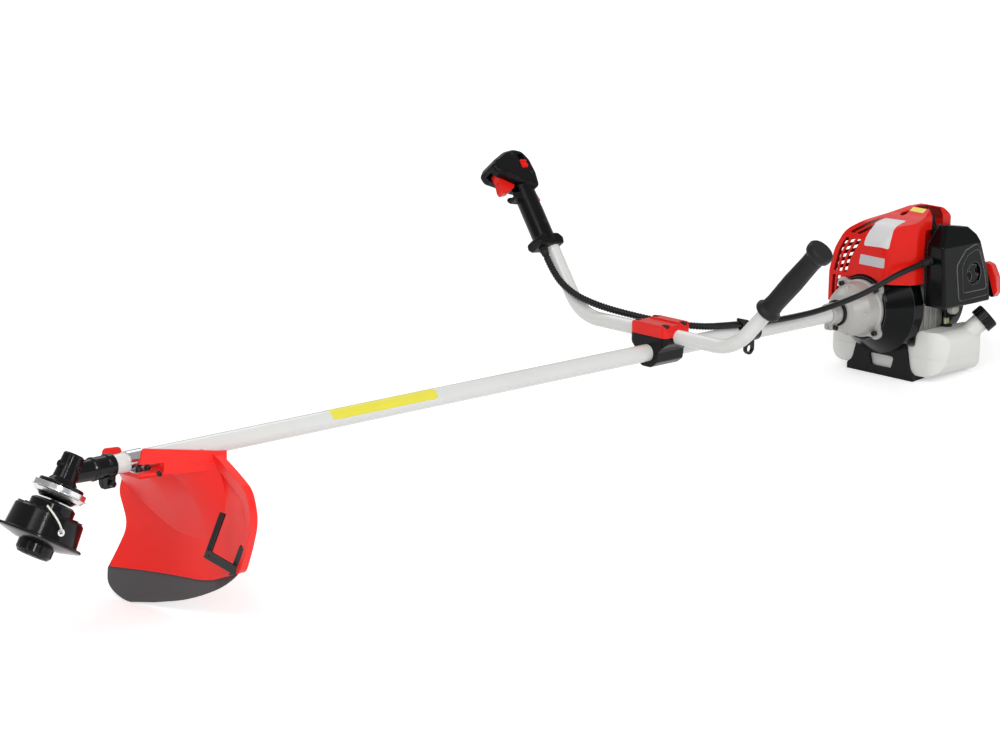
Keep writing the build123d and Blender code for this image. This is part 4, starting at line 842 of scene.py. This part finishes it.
for name, colour, places in HOSES:
    hose_skin = finish(name + "_skin", colour, 0.2, grain=300, depth=0.01, Transmission_Weight=0.25)
    line = route_line(name, [at(*place) for place in places])
    hose = run_piece(name, line, "machine", "hose_plastic", hose_skin, Radius=HOSE_RADIUS, Step=HOSE_STEP,
                     Sides=HOSE_SIDES)
    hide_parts("fuel_lines")

# Stand
# One black nylon moulding that is screwed under the engine and that the machine rests on. It has a window
# towards the tank.
dress(satin_black, "stand")

# Throttle cable
# Inner wire in a black conduit that is ribbed from the throttle handle to the clip on the tube and a plain
# sleeve from there to the air cleaner. A rubber boot holds it at each end.
CABLE_ROUTE = (
    (405.2, -248, 124), (412, -217, 86), (413, -176, 61), (401, -132, 47), (378, -86, 37), (344, -38, 27),
    (302, -2, 20.6), (250, 9, 18.2), (196, 14.6, 15), (140, 24.5, 15.5), (84, 34.5, 20), (30, 47, 31),
    (-10, 60, 43.5), (-52, 75, 64.5), (-90, 84, 76), (-124.5, 88.6, 82))
CABLE_RADIUS = 0.0046
RIB_HEIGHT = 0.0008
RIB_PITCH = 0.0046
RIBBED = (0.022, 0.372)
STEPS_PER_RIB = 8
# A boot's profile: lengths along the cable from its end, and radii.
HANDLE_BOOT = ((3, 5.2), (3, 7.4), (7, 7.4), (8, 6.4), (10, 7.2), (11, 6.2), (13, 6.9), (14, 6.0), (19, 5.7),
               (20, 4.8))
ENGINE_BOOT = ((0.5, 4.8), (0.5, 7.6), (2, 7.6), (3, 6.6), (12, 6.2), (13, 5.6), (15, 6.1), (16, 5.4),
               (18, 5.8), (19, 4.8))
BOOT_SIDES = 24


def spot_along(run, left):
    """The place at a length along a run, with the way it goes there."""
    for a, b in zip(run, run[1:]):
        if left <= (b - a).length:
            break
        left -= (b - a).length
    way = (b - a).normalized()
    return a + way * left, way


def boot_mesh(name, run, profile):
    """Closed rubber boot round a run."""
    corners, faces = [], []
    out = None
    for i, (along, radius) in enumerate(profile):
        middle, way = spot_along(run, along / 1000)
        out = way.orthogonal().normalized() if out is None else (out - way * out.dot(way)).normalized()
        ring, following = i * BOOT_SIDES, (i + 1) % len(profile) * BOOT_SIDES
        for k in range(BOOT_SIDES):
            turn = 2 * pi * k / BOOT_SIDES
            corners.append(middle + (out * cos(turn) + way.cross(out) * sin(turn)) * radius / 1000)
            after = (k + 1) % BOOT_SIDES
            faces.append((ring + k, ring + after, following + after, following + k))
    mesh = bpy.data.meshes.new(name)
    mesh.from_pydata(corners, [], faces)
    return closed(mesh)


conduit_black = finish("conduit_black", (0.005, 0.005, 0.006), 0.34, grain=600, depth=0.05,
                       Specular_IOR_Level=0.3)
line = route_line("throttle_conduit", [at(*place) for place in CABLE_ROUTE])
places = places_of(line)
conduit = run_piece("throttle_conduit", line, "machine", "black_conduit", conduit_black, Radius=CABLE_RADIUS,
                    Rib_Height=RIB_HEIGHT, Rib_Pitch=RIB_PITCH, Ribs_From=RIBBED[0], Ribs_To=RIBBED[1],
                    Step=RIB_PITCH / STEPS_PER_RIB)
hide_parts("throttle_cable")
for name, run, profile in (("handle_boot", places, HANDLE_BOOT), ("engine_boot", places[::-1], ENGINE_BOOT)):
    piece(name, boot_mesh(name, run, profile), "machine", grip_rubber)
